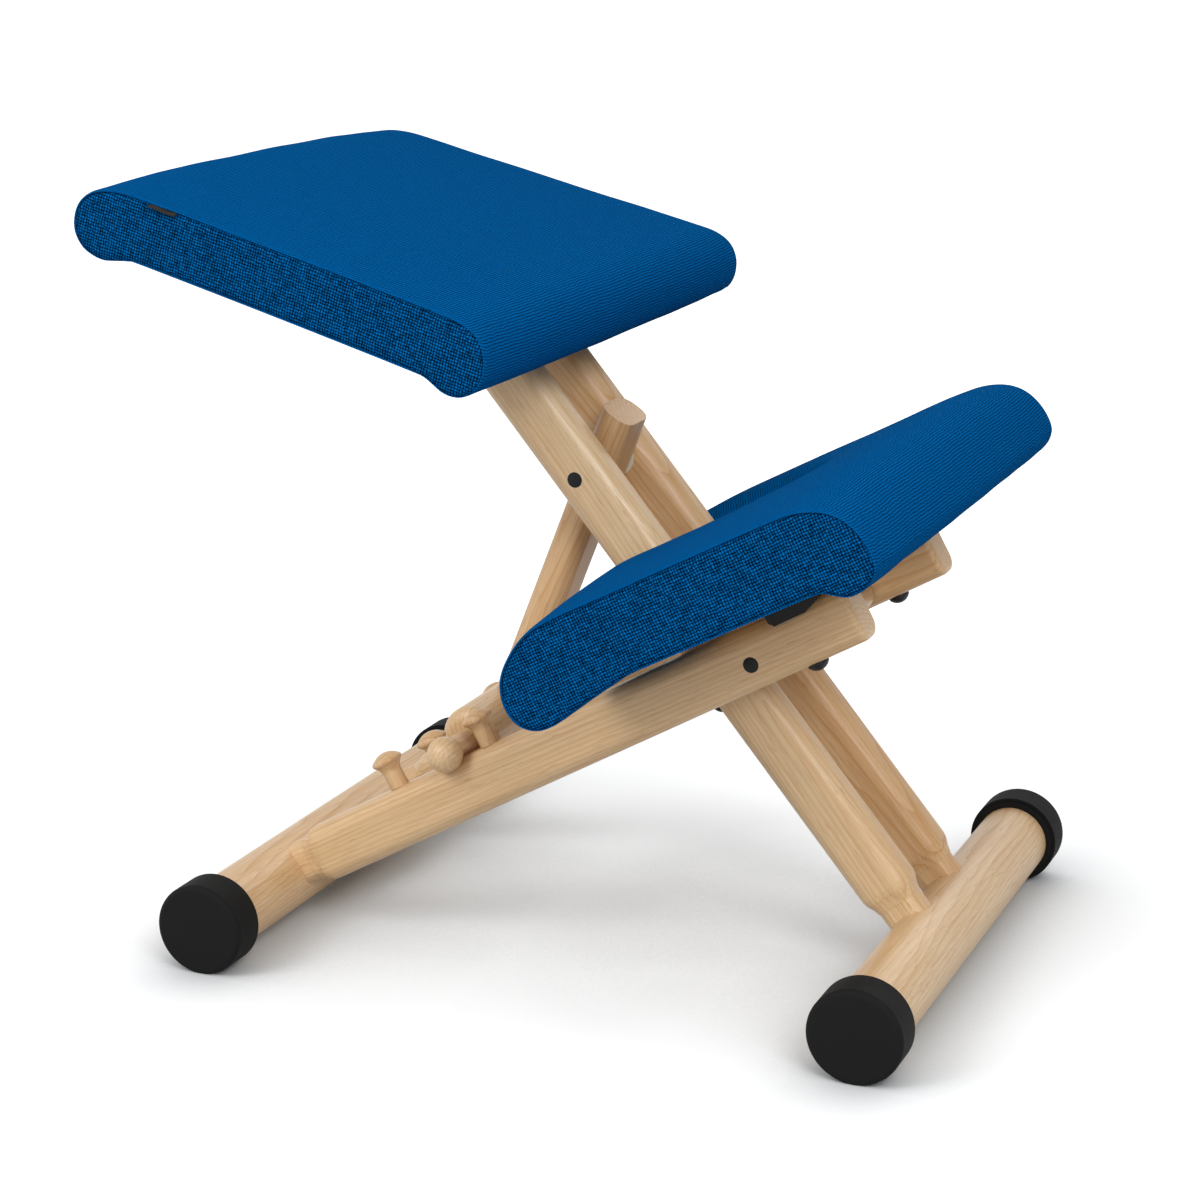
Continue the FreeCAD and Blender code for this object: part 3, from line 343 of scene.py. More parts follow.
# Seat cushion
# Moulded foam on the board, wrapped front to back by one strip of blue wool, with a flat side panel
# sewn in at each end. The seams sink in, the top is crowned and the sides are drawn in a little.
# The dark colours are painted shade, put in the gaps between the threads. The light ones are the
# wool's own blue, on the crests.
WRAP_LIGHT = "#005ea2"
WRAP_GAP_SHADE = "#00040c"
SIDE_LIGHT = "#0567ae"
SIDE_GAP_SHADE = "#000814"
THREAD = 0.0019
# The ribs are drawn a little coarser than the real ones, so that they show in a picture.
RIB = 0.0020

SEAT_HALF_WIDTH = 0.2215
SEAT_REAR_HALF_WIDTH = 0.2015
SEAT_CROWN = 0.0042
EDGE_ROUND = 0.0065
EDGE_PROUD = 0.0011
SEAM_DEPTH = 0.0014
SEAM_WIDTH = 0.0008
BELOW_PROUD = 0.4
SIDE_DRAW = 0.003
END_SWELL = 0.0012
PANEL_INSET = 0.0006
PANEL_PUFF_REACH = 0.0045
PANEL_COLUMNS = 150
PANEL_ROWS = (0, 0.02, 0.05, 0.1, 0.17, 0.26, 0.38, 0.5, 0.62, 0.74, 0.83, 0.9, 0.95, 0.98, 1)
OUTLINE_STEP = 0.0029
SAME_PLACE = 1e-6

FLAT_BELOW = 0.0005
UNDERSIDE_TOP = 0.001
BOARD_ROOM = 0.0003
POCKET_GROOVE = 0.0032
POCKET_STEP = 0.0007
POCKET_HOLD = 0.0002
SEAT_ROLL = 0.045
SEAT_POCKET = (0.1051, 0.2072)
TAPER_FROM = 0.1
SEAT_OUTLINE = (
    (0, 0), (65.9, 0), (103.9, 0), (112.9, -0.4), (119.9, -2.6), (126.9, -5), (133.9, -5.4),
    (140.9, -3.6), (146.9, 1.3), (150.5, 8), (151.3, 16), (148.9, 26), (141.9, 34.6),
    (129.9, 39.4), (111.9, 40.4), (75.9, 40.4), (20, 40.4), (-40, 40.4), (-95.9, 40.4),
    (-117.9, 40), (-133.9, 37), (-144.9, 31), (-150.5, 22.5), (-151.3, 12.5), (-148.3, 4),
    (-141.9, -2.2), (-133.9, -5), (-124.9, -5.6), (-115.9, -3.2), (-106.9, -0.6), (-97.9, 0),
    (-55.9, 0))


def wool(name, thread, pale, gap_shade, ribbed, gap, crest, unlike, relief):
    """Thick woven wool, with painted shade in the gaps between its threads and its own colour on their
    crests.

    Ribbed wool shows rows of one set of threads, and the other kind is a basket weave. The heights
    gap and crest get the painted shade colour and the pale colour. The lowest thread keeps the share
    unlike of its height, so that no two threads are quite the same."""
    m = new_material(name)
    uv = add(m, "ShaderNodeUVMap", uv_map="threads").outputs[0]
    sway = add(m, "ShaderNodeTexNoise", {"Vector": uv, "Scale": 170.0, "Detail": 1.0}).outputs["Color"]
    sway = add(m, "ShaderNodeVectorMath", {0: sway, 1: (0.5, 0.5, 0.5)},
               operation="SUBTRACT").outputs[0]
    sway = add(m, "ShaderNodeVectorMath", {0: sway, "Scale": 0.9}, operation="SCALE").outputs[0]
    grid = add(m, "ShaderNodeVectorMath", {0: uv, "Scale": 1 / thread}, operation="SCALE").outputs[0]
    grid = add(m, "ShaderNodeVectorMath", {0: grid, 1: sway}, operation="ADD").outputs[0]
    if ribbed:
        row = add(m, "ShaderNodeSeparateXYZ", {0: grid}).outputs["X"]
        row = add(m, "ShaderNodeMath", {0: row}, operation="FLOOR").outputs[0]
        slip = add(m, "ShaderNodeTexWhiteNoise", {"W": row}, noise_dimensions="1D").outputs["Value"]
        slide = add(m, "ShaderNodeCombineXYZ", {"Y": slip}).outputs[0]
        grid = add(m, "ShaderNodeVectorMath", {0: grid, 1: slide}, operation="ADD").outputs[0]
        grid = add(m, "ShaderNodeVectorMath", {0: grid, 1: (1.0, 0.62, 1.0)},
                   operation="MULTIPLY").outputs[0]
    cell = add(m, "ShaderNodeVectorMath", {0: grid}, operation="FLOOR").outputs[0]
    inside = add(m, "ShaderNodeVectorMath", {0: grid}, operation="FRACTION").outputs[0]
    outside = add(m, "ShaderNodeVectorMath", {0: (1, 1, 1), 1: inside},
                  operation="SUBTRACT").outputs[0]
    arch = add(m, "ShaderNodeVectorMath", {0: inside, 1: outside}, operation="MULTIPLY").outputs[0]
    arch = add(m, "ShaderNodeVectorMath", {0: arch, "Scale": 4.0}, operation="SCALE").outputs[0]
    arch = add(m, "ShaderNodeVectorMath", {0: arch, 1: (0.7, 0.7, 0.7)},
               operation="POWER").outputs[0]
    arches = add(m, "ShaderNodeSeparateXYZ", {0: arch})
    one, two = arches.outputs["X"], arches.outputs["Y"]
    if ribbed:
        crown = add(m, "ShaderNodeMapRange", {"Value": two, "To Min": 0.72}).outputs[0]
        height = add(m, "ShaderNodeMath", {0: one, 1: crown}, operation="MULTIPLY").outputs[0]
    else:
        centre = add(m, "ShaderNodeVectorMath", {0: cell, 1: (0.5, 0.5, 0.5)},
                     operation="ADD").outputs[0]
        over = add(m, "ShaderNodeTexChecker", {"Vector": centre, "Scale": 1.0}).outputs["Fac"]
        warp = add(m, "ShaderNodeMapRange", {"Value": two, "To Min": 0.45}).outputs[0]
        warp = add(m, "ShaderNodeMath", {0: one, 1: warp}, operation="MULTIPLY").outputs[0]
        weft = add(m, "ShaderNodeMapRange", {"Value": one, "To Min": 0.45}).outputs[0]
        weft = add(m, "ShaderNodeMath", {0: two, 1: weft}, operation="MULTIPLY").outputs[0]
        height = add(m, "ShaderNodeMix", {0: over, 2: warp, 3: weft}).outputs[0]
    each = add(m, "ShaderNodeTexWhiteNoise", {"Vector": cell}, noise_dimensions="2D").outputs["Value"]
    fuzz = add(m, "ShaderNodeTexNoise", {"Vector": uv, "Scale": 1900.0, "Detail": 2.0}).outputs["Fac"]
    body = add(m, "ShaderNodeMath", {0: fuzz, 1: 0.35, 2: height},
               operation="MULTIPLY_ADD").outputs[0]
    vary = add(m, "ShaderNodeMapRange", {"Value": each, "To Min": unlike}).outputs[0]
    body = add(m, "ShaderNodeMath", {0: body, 1: vary}, operation="MULTIPLY").outputs[0]
    # Painted shade: the lower a thread's height, the nearer its colour comes to the shade colour of
    # the gaps.
    light = add(m, "ShaderNodeMapRange", {"Value": body, "From Min": gap,
                                          "From Max": crest}).outputs[0]
    tone = add(m, "ShaderNodeMix", {0: light, 6: linear(gap_shade), 7: linear(pale)}, data_type="RGBA")
    bump = add(m, "ShaderNodeBump", {"Height": body, "Strength": 0.75,
                                     "Distance": relief}).outputs[0]
    cloth = add(m, "ShaderNodeBsdfPrincipled", {"Base Color": tone.outputs[2], "Roughness": 0.92,
                                                "Normal": bump, "Specular IOR Level": 0.005})
    add(m, "ShaderNodeOutputMaterial", {"Surface": cloth.outputs[0]})
    return m


wool_wrap = wool("wool_blue_ribbed_wrap", RIB, WRAP_LIGHT, WRAP_GAP_SHADE, True,
                 gap=0.26, crest=0.90, unlike=0.86, relief=0.0006)
wool_side = wool("wool_blue_basket_side", THREAD, SIDE_LIGHT, SIDE_GAP_SHADE, False,
                 gap=0.50, crest=1.05, unlike=0.72, relief=0.0009)


def distances(points):
    """The distance along a line of points, from its first to each of them."""
    return np.concatenate([[0], np.cumsum(np.linalg.norm(np.diff(points, axis=0), axis=1))])


def spread(points, count, endpoint=True):
    """Evenly spaced places along a line of points."""
    run = distances(points)
    at = np.linspace(0, run[-1], count, endpoint=endpoint)
    return np.stack([np.interp(at, run, points[:, i]) for i in (0, 1)], 1)


def smooth_outline(points, spacing):
    """A closed smooth curve through the points, given in millimetres, as evenly spaced metres."""
    p = np.array(points, float) / 1000
    before, after, beyond = np.roll(p, 1, 0), np.roll(p, -1, 0), np.roll(p, -2, 0)
    fine = []
    for t in np.linspace(0, 1, 12, endpoint=False):
        fine.append(0.5 * (2 * p + (after - before) * t + (2 * before - 5 * p + 4 * after - beyond)
                           * t ** 2 + (3 * p - before - 3 * after + beyond) * t ** 3))
    curve = np.stack(fine, 1).reshape(-1, 2)
    closed = np.vstack([curve, curve[:1]])
    return spread(closed, int(round(distances(closed)[-1] / spacing)), endpoint=False)


def outward(loop):
    """The unit normals of a closed outline that runs forwards along its underside."""
    along = np.roll(loop, -1, 0) - np.roll(loop, 1, 0)
    normal = np.stack([along[:, 1], -along[:, 0]], 1)
    return normal / np.linalg.norm(normal, axis=1)[:, None]


def edge_stations(half_width, pocket_side):
    """Where the wrap's outlines stand across a cushion, with how far each lies outside the seam."""
    flat = half_width - EDGE_ROUND
    brink = [side * (pocket_side + step) for side in (-1, 1) for step in (0, POCKET_STEP)]
    inner = np.sort(np.append(np.linspace(-flat, flat, 65), brink))
    rows = [(y, EDGE_PROUD) for y in inner]
    for step in range(1, 7):
        turn = step * math.pi / 12
        rows.append((flat + EDGE_ROUND * math.sin(turn), EDGE_PROUD * math.cos(turn)))
    rows.append((half_width - SEAM_WIDTH * 0.2, -SEAM_WIDTH * 0.4))
    rows.append((half_width - SEAM_DEPTH, -SEAM_WIDTH * 0.9))
    ends = [(-y, proud) for y, proud in rows[:len(inner) - 1:-1]]
    return ends + rows


def side_draw(u, half_length):
    """How far a side is drawn in at a place along the cushion."""
    return SIDE_DRAW * max(0.0, 1 - (u / half_length) ** 2)


def ripple(u, y, w, size=0.00045, reach=0.045):
    """A slight unevenness of the foam under the cloth."""
    return size * noise.noise(Vector((u, y, w)) / reach)


def cushion_mesh(name, grid, panels, anchor=0, wall=None):
    """Put the wrap's outlines and two side panels in one mesh with thread directions.

    The panels' rims lie just inside the wrap's ends and aren't joined to them, so each seam is a
    slit under a millimetre wide. Thread lengths are counted from the anchor. A wall function tells
    the faces that line a notch, with their own thread directions, and the ones of no width that
    are left out."""
    count = len(grid[0])
    verts = [tuple(p) for row in grid for p in row]
    faces, uvs, kinds = [], [], []
    for j in range(len(grid) - 1):
        lengths = []
        for row in (grid[j], grid[j + 1]):
            run = distances(np.vstack([row, row[:1]])[:, [0, 2]])
            lengths.append(run - run[anchor])
        for i in range(count):
            k = (i + 1) % count
            corners = ((j, i), (j, k), (j + 1, k), (j + 1, i))
            lining = wall(j, i) if wall else None
            if lining == "none":
                continue
            faces.append(tuple(a * count + b for a, b in corners))
            if lining:
                uvs += [lining(grid[a][b], a) for a, b in corners]
                kinds.append(1)
            else:
                uvs += [(lengths[a - j][i + (b == k)], grid[a][b][1]) for a, b in corners]
                kinds.append(0)
    for panel, flip in panels:
        base = len(verts)
        rows, width = len(panel), len(panel[0])
        verts += [tuple(p) for row in panel for p in row]
        for j in range(rows - 1):
            for i in range(width - 1):
                corners = [(j, i), (j, i + 1), (j + 1, i + 1), (j + 1, i)]
                if flip:
                    corners.reverse()
                faces.append(tuple(base + a * width + b for a, b in corners))
                uvs += [(panel[a][b][0], panel[a][b][2]) for a, b in corners]
                kinds.append(1)
    mesh = bpy.data.meshes.new(name)
    mesh.from_pydata(verts, [], faces)
    layer = mesh.uv_layers.new(name="threads")
    layer.data.foreach_set("uv", [c for uv in uvs for c in uv])
    mesh.materials.append(wool_wrap)
    mesh.materials.append(wool_side)
    mesh.polygons.foreach_set("material_index", kinds)
    mesh.polygons.foreach_set("use_smooth", [True] * len(faces))
    seam = bmesh.new()
    seam.from_mesh(mesh)
    bmesh.ops.remove_doubles(seam, verts=seam.verts, dist=SAME_PLACE)
    seam.to_mesh(mesh)
    seam.free()
    mesh.update()
    return mesh


def side_panel(edge, half_width, sign, half_length):
    """A flat sewn panel that fills an end outline, puffed a little just inside its seam."""
    count = len(edge)
    top = int(np.argmax(edge[:, 0]))
    tail = int(np.argmin(edge[:, 0]))
    order = [(top + i) % count for i in range(count)]
    upper = edge[order[:(tail - top) % count + 1]]
    lower = edge[[(tail + i) % count for i in range((top - tail) % count + 1)]][::-1]
    upper, lower = spread(upper, PANEL_COLUMNS), spread(lower, PANEL_COLUMNS)
    rows = []
    for share in PANEL_ROWS:
        row = []
        for above, below in zip(upper, lower):
            u, w = above * (1 - share) + below * share
            inset = min(np.linalg.norm((u, w) - above), np.linalg.norm((u, w) - below),
                        0.8 * np.linalg.norm((u, w) - upper[0]),
                        0.8 * np.linalg.norm((u, w) - upper[-1]))
            rise = min(1.0, inset / PANEL_PUFF_REACH)
            sunk = SEAM_DEPTH * (1 - rise) ** 2.2 + PANEL_INSET
            y = half_width - sunk + ripple(u, sign, w) - side_draw(u, half_length)
            row.append((u, sign * y, w))
        rows.append(row)
    return rows


def end_panels(grid, outline, half_width):
    """Both side panels of a cushion, each with whether its faces have to be turned over."""
    return [(side_panel(grid[end][:, [0, 2]], half_width, sign, outline[:, 0].max()), sign > 0)
            for end, sign in ((0, -1), (-1, 1))]


def swell(y, half_width, crown, nu, nw):
    """How far the foam swells from its outline, most in the middle of the top."""
    full = 1 - min(1.0, abs(y) / half_width) ** 2.6
    return crown * full * max(nw, 0) ** 1.5 + END_SWELL * full * abs(nu)


def drawn_in(u, y, half_length, half_width):
    """The place across the cushion of a point whose side is drawn in."""
    draw = side_draw(u, half_length) * (abs(y) / half_width) ** 8
    return math.copysign(abs(y) - draw, y)


def seat_grid(outline, half_width, crown, pocket_side):
    """The wrap's outlines across a cushion without a notch."""
    normal = outward(outline)
    half_length = outline[:, 0].max()
    rows = []
    for y, proud in edge_stations(half_width, pocket_side):
        row = []
        for (u, w), (nu, nw) in zip(outline, normal):
            lift = swell(y, half_width, crown, nu, nw)
            out = proud * (1 if nw > -0.5 else BELOW_PROUD) + lift + ripple(u, y, w)
            if w < FLAT_BELOW and abs(u) < half_length - SEAT_ROLL:
                out = min(proud, 0)
            row.append((u + nu * out, drawn_in(u, y, half_length, half_width), w + nw * out))
        rows.append(np.array(row))
    return rows


def points_of(mesh):
    """The places of a mesh's vertices, one row each."""
    points = np.zeros(len(mesh.vertices) * 3, np.float32)
    mesh.vertices.foreach_get("co", points)
    return points.reshape(-1, 3)


def move_points(mesh, points):
    """Put a mesh's vertices at new places."""
    mesh.vertices.foreach_set("co", points.astype(np.float32).ravel())
    mesh.update()


def set_in_place(mesh, origin, tilt):
    """Turn a cushion from its own directions into the chair's."""
    forward, up = cushion_axes(tilt)
    points = points_of(mesh)
    across = np.array([0, 1, 0])
    move_points(mesh, np.array(origin) + points[:, :1] * np.array(forward)
                + points[:, 1:2] * across + points[:, 2:] * np.array(up))


def narrow(mesh, half_width, rear_half_width, front_half_width):
    """Draw the outer parts of a cushion in, so that its plan is a little narrower at one end."""
    points = points_of(mesh)
    reach = points[:, 0].max()
    share = np.clip((points[:, 0] + reach) / (2 * reach), 0, 1)
    edge = rear_half_width + (front_half_width - rear_half_width) * share
    outer = np.clip((np.abs(points[:, 1]) - TAPER_FROM) / (half_width - TAPER_FROM), 0, None)
    points[:, 1] += np.sign(points[:, 1]) * outer * (edge - half_width)
    move_points(mesh, points)


def show(mesh, body):
    """Put a mesh in the scene and let it ride on a body."""
    piece = bpy.data.objects.new(mesh.name, mesh)
    bpy.context.scene.collection.objects.link(piece)
    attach(piece, body)
    return piece


def press_pocket(mesh, covers):
    """Press the room for the board into a cushion's flat underside."""
    for point in mesh.vertices:
        if point.co.z < UNDERSIDE_TOP and covers(point.co.x, abs(point.co.y)):
            point.co.z = BOARD + BOARD_ROOM
    mesh.update()


def seat_board_covers(u, y):
    """Whether a place on the seat's underside is over the board or right beside it."""
    return abs(u) < SEAT_POCKET[0] + POCKET_GROOVE and y < SEAT_POCKET[1] + POCKET_HOLD


seat_outline = smooth_outline(SEAT_OUTLINE, OUTLINE_STEP)
seat_origin = board_underside("seat_board", SEAT_TILT)
grid = seat_grid(seat_outline, SEAT_HALF_WIDTH, SEAT_CROWN, SEAT_POCKET[1])
mesh = cushion_mesh("seat_cushion_cover", grid, end_panels(grid, seat_outline, SEAT_HALF_WIDTH))
press_pocket(mesh, seat_board_covers)
narrow(mesh, SEAT_HALF_WIDTH, SEAT_REAR_HALF_WIDTH, SEAT_HALF_WIDTH)
set_in_place(mesh, seat_origin, SEAT_TILT)
seat_cover = show(mesh, "seat_frame")
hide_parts("seat_cushion")


# Seam tab
# A short end of dark woven tape, caught in the seat's near seam towards the rear. It stands out a
# few millimetres and droops, with nothing on it.
TAPE_DARK = "#0c0b09"
TAPE_PALE = "#2b2620"
TAB_FROM = -0.0990
TAB_TO = -0.0785
TAB_HEIGHT = 0.0396
TAB_OUT = 0.0042
TAB_DROOP = 0.0012
TAB_THICKNESS = 0.0009
TAB_ROOT = 0.004
TAB_SUNK = 0.0025
TAB_WAVE = 0.0002
TAPE_THREAD = 0.0006

tape = new_material("polyester_tape_woven_dark")
at = add(tape, "ShaderNodeTexCoord").outputs["Object"]
cord = add(tape, "ShaderNodeTexNoise", {"Vector": at, "Scale": 1 / TAPE_THREAD,
                                        "Detail": 1.0}).outputs["Fac"]
tint = add(tape, "ShaderNodeMix", {0: cord, 6: linear(TAPE_DARK), 7: linear(TAPE_PALE)},
           data_type="RGBA")
relief = add(tape, "ShaderNodeBump", {"Height": cord, "Strength": 0.4,
                                      "Distance": 0.0002}).outputs[0]
shader = add(tape, "ShaderNodeBsdfPrincipled", {"Base Color": tint.outputs[2], "Roughness": 0.7,
                                                "Normal": relief, "Specular IOR Level": 0.2})
add(tape, "ShaderNodeOutputMaterial", {"Surface": shader.outputs[0]})

section = [(-1, 0.4), (0.0, 0.5), (0.5, 0.5), (0.9, 0.45), (1.0, 0.2), (1.0, -0.2), (0.9, -0.45),
           (0.5, -0.5), (0.0, -0.5), (-1, -0.4)]
half_length = seat_outline[:, 0].max()
verts, faces = [], []
along = np.linspace(TAB_FROM, TAB_TO, 22)
for number, u in enumerate(along):
    end = 0.88 if number in (0, len(along) - 1) else 1
    share = (u + half_length) / (2 * half_length)
    face_y = SEAT_REAR_HALF_WIDTH + (SEAT_HALF_WIDTH - SEAT_REAR_HALF_WIDTH) * share - TAB_SUNK
    for out, level in section:
        depth = out * TAB_OUT * end if out > 0 else -TAB_ROOT
        sag = TAB_DROOP * max(out, 0) ** 2 + TAB_WAVE * math.sin(u * 420)
        verts.append((u, -(face_y + depth), TAB_HEIGHT - sag + level * TAB_THICKNESS * end))
ring = len(section)
for j in range(len(along) - 1):
    for i in range(ring):
        k = (i + 1) % ring
        faces.append((j * ring + i, j * ring + k, (j + 1) * ring + k, (j + 1) * ring + i))
faces.append(tuple(range(ring))[::-1])
faces.append(tuple((len(along) - 1) * ring + i for i in range(ring)))
tab_mesh = bpy.data.meshes.new("seat_seam_tab")
tab_mesh.from_pydata(verts, [], faces)
tab_mesh.materials.append(tape)
set_in_place(tab_mesh, seat_origin, SEAT_TILT)
tab = show(tab_mesh, "seat_frame")


# Knee pad
# The same foam, wool and seams as the seat, thicker, on a U-shaped board. Its rear is cut out in a
# round-ended notch for the seat beams, lined with the same wool, with well rounded edges on top.
PAD_HALF_WIDTH = 0.2225
PAD_FRONT_HALF_WIDTH = 0.2120
PAD_CROWN = 0.006
PAD_BOARD_FORWARD = 0.02075
PAD_BOARD_ENDS = (-0.0409, 0.0824)
PAD_POCKET_SIDE = 0.2087
BOARD_NOTCH_HALF = 0.072
NOTCH_HALF = 0.062
NOTCH_CENTRE = -0.0331
NOTCH_ROUND_ACROSS = 0.020
NOTCH_ROUND_DOWN = 0.015
NOTCH_ROUND_BELOW = 0.005
NOSE_START = 0.078
PAD_FLAT = (-0.041, 0.084)
PAD_TOP = 0.0497
PAD_OUTLINE = (
    (0, 0), (50, 0), (85.1, 0), (91.1, -1.2), (97.1, -5.2), (103.1, -8.6), (110.1, -9.3),
    (118.1, -7.2), (124.5, -2.6), (127.7, 4), (128.1, 14), (125.7, 25), (120.5, 34.8),
    (111.6, 42.6), (99.1, 47.6), (84.1, 49.5), (50, 49.7), (0, 49.7), (-48.1, 49.7),
    (-74.1, 49.5), (-89.1, 48.3), (-101.1, 44.6), (-113.1, 37.6), (-122.1, 29), (-127.1, 18.5),
    (-128, 8), (-125.5, -0.4), (-120.7, -6.2), (-113.6, -9.8), (-105.1, -10.6), (-96.1, -9.2),
    (-82.1, -6.2), (-60.1, -2.3), (-50.1, -0.6), (-42.1, 0), (-20, 0))


def pad_stations():
    """Where the pad's outlines stand, how proud each is, and whether it is inside the notch."""
    turns = np.linspace(-math.pi / 2, math.pi / 2, 37)
    inside = [(NOTCH_HALF * math.sin(t), EDGE_PROUD, True) for t in turns]
    steps = np.linspace(0, math.pi / 2, 8)
    rows = [(NOTCH_HALF + NOTCH_ROUND_ACROSS * (1 - math.cos(t)), EDGE_PROUD, False) for t in steps]
    flat = PAD_HALF_WIDTH - EDGE_ROUND
    across = np.append(np.linspace(rows[-1][0], flat, 25)[1:],
                       [PAD_POCKET_SIDE, PAD_POCKET_SIDE + POCKET_STEP])
    rows += [(y, EDGE_PROUD, False) for y in np.sort(across)]
    rows += [(y, proud, False) for y, proud in edge_stations(PAD_HALF_WIDTH, PAD_POCKET_SIDE)
             if y > flat + 1e-9]
    return [(-y, proud, kind) for y, proud, kind in rows[::-1]] + inside + rows


def between(loop, start, end, count):
    """Evenly spaced points along a closed outline from one place on it to another, ends included."""
    first = int(np.argmin(np.linalg.norm(loop - start, axis=1)))
    last = int(np.argmin(np.linalg.norm(loop - end, axis=1)))
    part = loop[[(first + i) % len(loop) for i in range((last - first) % len(loop) + 1)]]
    part[0], part[-1] = start, end
    return spread(part, count)


def edge_fall(away, across, down):
    """How far a rounded edge has dropped at a distance from the wall it rounds into."""
    short = min(1.0, max(0.0, 1 - away / across))
    return down * (1 - math.sqrt(1 - short ** 2))


def notch_distance(u, y):
    """How far a place in the pad's plan is from the notch's middle line, or its round end's centre."""
    return abs(y) if u <= NOTCH_CENTRE else math.hypot(u - NOTCH_CENTRE, y)


def notch_fall(u, y, nw):
    """How far the notch's rounded rim has dropped: well rounded on top, and a little below."""
    away = notch_distance(u, y) - NOTCH_HALF
    share = max(0.0, nw)
    level = abs(nw)
    across = NOTCH_ROUND_ACROSS * (1 - level) + NOTCH_ROUND_BELOW * level + SAME_PLACE
    down = NOTCH_ROUND_DOWN * (1 - level) + NOTCH_ROUND_BELOW * level
    return (share * edge_fall(away, NOTCH_ROUND_ACROSS, NOTCH_ROUND_DOWN)
            + (1 - share) * edge_fall(away, across, down))


def pad_grid(outline):
    """The wrap's outlines across the pad. Those inside the notch run down its front wall instead.

    Beside them come the numbers of the point where that wall starts and of the nose's first point."""
    steps = np.linspace(0, math.pi / 2, 7)
    low_spread = NOTCH_ROUND_BELOW * (1 - np.cos(steps))
    top_spread = NOTCH_ROUND_ACROSS * (1 - np.cos(steps))
    nose = between(outline, (NOSE_START, 0), (NOSE_START, PAD_TOP), 66)
    heel = between(outline, (NOTCH_CENTRE, PAD_TOP), (NOTCH_CENTRE, 0), 110)[1:-1]
    wall = np.linspace(0, 1, len(heel) + 2)[1:-1]
    half_length = outline[:, 0].max()
    rows = []
    for y, proud, inside in pad_stations():
        brink = NOTCH_CENTRE + (math.sqrt(max(0.0, NOTCH_HALF ** 2 - y ** 2)) if inside else 0.0)
        low = np.concatenate([brink + low_spread,
                              np.linspace(brink + low_spread[-1], NOSE_START, 26)[1:-1]])
        top = np.concatenate([np.linspace(NOSE_START, brink + top_spread[-1], 26)[1:-1],
                              brink + top_spread[::-1]])
        loop = np.concatenate([np.stack([low, np.zeros(len(low))], 1), nose,
                               np.stack([top, np.full(len(top), PAD_TOP)], 1)])
        edge = len(loop)
        if not inside:
            loop = np.concatenate([loop, heel])
        normal = outward(loop)
        normal[:len(low)] = (0, -1)
        normal[len(low) + len(nose):edge] = (0, 1)
        row = []
        for (u, w), (nu, nw) in zip(loop, normal):
            fall = notch_fall(u, y, nw)
            lift = swell(y, PAD_HALF_WIDTH, PAD_CROWN, nu, nw) + ripple(u, y, w)
            out = proud * (1 if nw > -0.5 else BELOW_PROUD) + lift - fall
            if w < FLAT_BELOW and PAD_FLAT[0] < u < PAD_FLAT[1]:
                out = min(proud, 0) - fall
            row.append((u + nu * out, drawn_in(u, y, half_length, PAD_HALF_WIDTH), w + nw * out))
        if inside:
            upper, lower = np.array(row[-1]), np.array(row[0])
            row += [tuple(upper + (lower - upper) * share) for share in wall]
        rows.append(np.array(row))
    return rows, edge, len(low)


stations = pad_stations()
pad_outline = smooth_outline(PAD_OUTLINE, OUTLINE_STEP)
grid, wall_start, nose_start = pad_grid(pad_outline)


def lining(place, j):
    """Thread directions on the notch's wall: along it, and up it."""
    y, _, inside = stations[j]
    arc = NOTCH_HALF * math.asin(max(-1.0, min(1.0, y / NOTCH_HALF)))
    if not inside:
        arc = math.copysign(NOTCH_HALF * math.pi / 2 + NOTCH_CENTRE - place[0], y)
    return arc, place[2]


def notch_wall(j, i):
    """Which faces of the pad's grid line the notch, and which have no width."""
    here, there = stations[j][2], stations[j + 1][2]
    if i >= wall_start - 1 and (here or there):
        return lining
    return "none" if here != there else None


def pad_board_covers(u, y):
    """Whether a place on the pad's underside is over the U-shaped board or right beside it."""
    return (PAD_BOARD_ENDS[0] - POCKET_GROOVE < u < PAD_BOARD_ENDS[1] + POCKET_GROOVE
            and y < PAD_POCKET_SIDE + POCKET_HOLD
            and notch_distance(u, y) > BOARD_NOTCH_HALF - POCKET_GROOVE)


mesh = cushion_mesh("knee_pad_cover", grid, end_panels(grid, pad_outline, PAD_HALF_WIDTH),
                    nose_start, notch_wall)
press_pocket(mesh, pad_board_covers)
narrow(mesh, PAD_HALF_WIDTH, PAD_HALF_WIDTH, PAD_FRONT_HALF_WIDTH)
pad_origin = (board_underside("knee_pad_board", PAD_TILT)
              - cushion_axes(PAD_TILT)[0] * PAD_BOARD_FORWARD)
set_in_place(mesh, pad_origin, PAD_TILT)
pad_cover = show(mesh, "knee_frame")
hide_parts("knee_pad_cushion")


# Floor, light and camera
# A plain white studio floor, lit by soft boxes. It glows to pure white away from the chair, and the
# glow is dimmed close under the beams and cups, so that they stand on a soft contact shadow.
FLOOR_SIZE = 60.0
FLOOR_WHITE = (0.55, 0.565, 0.575, 1)
GLOW_UNDER_CHAIR = 0.62
GLOW_FROM = 0.25
GLOW_FULL = 1.5
CONTACT_REACH = 0.22
WORLD_LIGHT = 0.40

floor_mesh = bpy.data.meshes.new("studio_floor")
half = FLOOR_SIZE / 2
floor_mesh.from_pydata([(-half, -half, 0), (half, -half, 0), (half, half, 0), (-half, half, 0)], [],
                       [(0, 1, 2, 3)])
floor = bpy.data.objects.new("studio_floor", floor_mesh)
bpy.context.scene.collection.objects.link(floor)


def seen_directly(material):
    """1 for rays from the camera or a mirror-like reflection, and 0 for rays that carry light."""
    rays = add(material, "ShaderNodeLightPath").outputs
    return add(material, "ShaderNodeMath", {0: rays["Is Camera Ray"], 1: rays["Is Glossy Ray"]},
               operation="MAXIMUM").outputs[0]


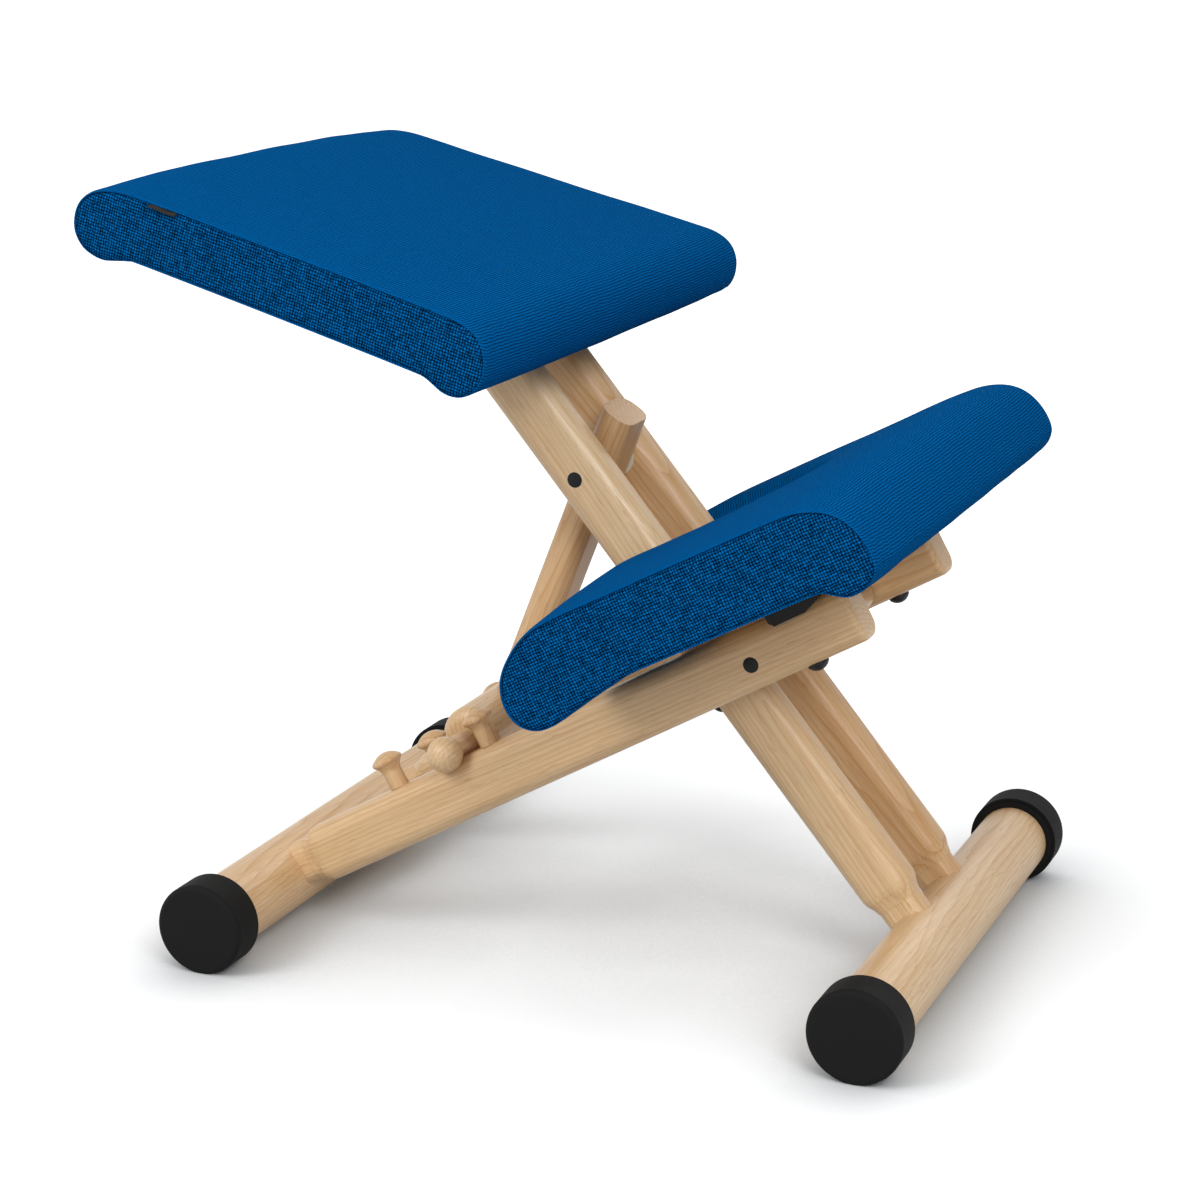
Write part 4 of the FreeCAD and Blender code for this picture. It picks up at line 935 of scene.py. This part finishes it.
paper = new_material("paper_white_floor")
at = add(paper, "ShaderNodeTexCoord").outputs["Object"]
away = add(paper, "ShaderNodeVectorMath", {0: at}, operation="LENGTH").outputs["Value"]
lift = add(paper, "ShaderNodeMapRange", {"Value": away, "From Min": GLOW_FROM, "From Max": GLOW_FULL,
                                         "To Min": GLOW_UNDER_CHAIR}).outputs[0]
open_sky = add(paper, "ShaderNodeAmbientOcclusion", {"Distance": CONTACT_REACH},
               samples=8).outputs["AO"]
contact = add(paper, "ShaderNodeMath", {0: open_sky, 1: 2.4}, operation="POWER").outputs[0]
lift = add(paper, "ShaderNodeMath", {0: lift, 1: contact}, operation="MULTIPLY").outputs[0]
glow = add(paper, "ShaderNodeEmission", {"Color": (1, 1, 1, 1), "Strength": lift})
matt = add(paper, "ShaderNodeBsdfDiffuse", {"Color": FLOOR_WHITE})
both = add(paper, "ShaderNodeAddShader", {0: matt.outputs[0], 1: glow.outputs[0]})
choice = add(paper, "ShaderNodeMixShader", {0: seen_directly(paper), 1: matt.outputs[0],
                                            2: both.outputs[0]})
add(paper, "ShaderNodeOutputMaterial", {"Surface": choice.outputs[0]})
floor_mesh.materials.append(paper)

world = bpy.data.worlds.new("studio")
bpy.context.scene.world = world
world.use_nodes = True
world.node_tree.nodes.clear()
strength = add(world, "ShaderNodeMapRange", {"Value": seen_directly(world),
                                             "To Min": WORLD_LIGHT}).outputs[0]
sky = add(world, "ShaderNodeBackground", {"Color": (1, 1, 1, 1), "Strength": strength})
add(world, "ShaderNodeOutputWorld", {"Surface": sky.outputs[0]})


def lamp(name, place, aim, size, watts):
    """A square soft box that looks at a point."""
    light = bpy.data.lights.new(name, "AREA")
    light.shape = "SQUARE"
    light.size = size
    light.energy = watts
    holder = bpy.data.objects.new(name, light)
    holder.location = place
    holder.rotation_euler = (Vector(aim) - Vector(place)).to_track_quat("-Z", "Y").to_euler()
    bpy.context.scene.collection.objects.link(holder)


lamp("key_soft_box", (1.7, -2.0, 2.0), (0, 0, 0.2), 1.2, 46)
lamp("front_soft_box", (-1.5, -2.2, 2.1), (0, 0, 0.25), 1.4, 46)
lamp("back_soft_box", (0.3, 2.6, 2.2), (0, 0, 0.3), 1.8, 16)

view = bpy.data.cameras.new("camera")
view.sensor_width = 36.0
view.lens = 84.75
camera = bpy.data.objects.new("camera", view)
camera.location = (0.71516, -1.7279, 0.7361)
camera.rotation_euler = (math.radians(74.86), 0, math.radians(22.55))
bpy.context.scene.collection.objects.link(camera)
bpy.context.scene.camera = camera
bpy.context.scene.view_settings.view_transform = "Standard"
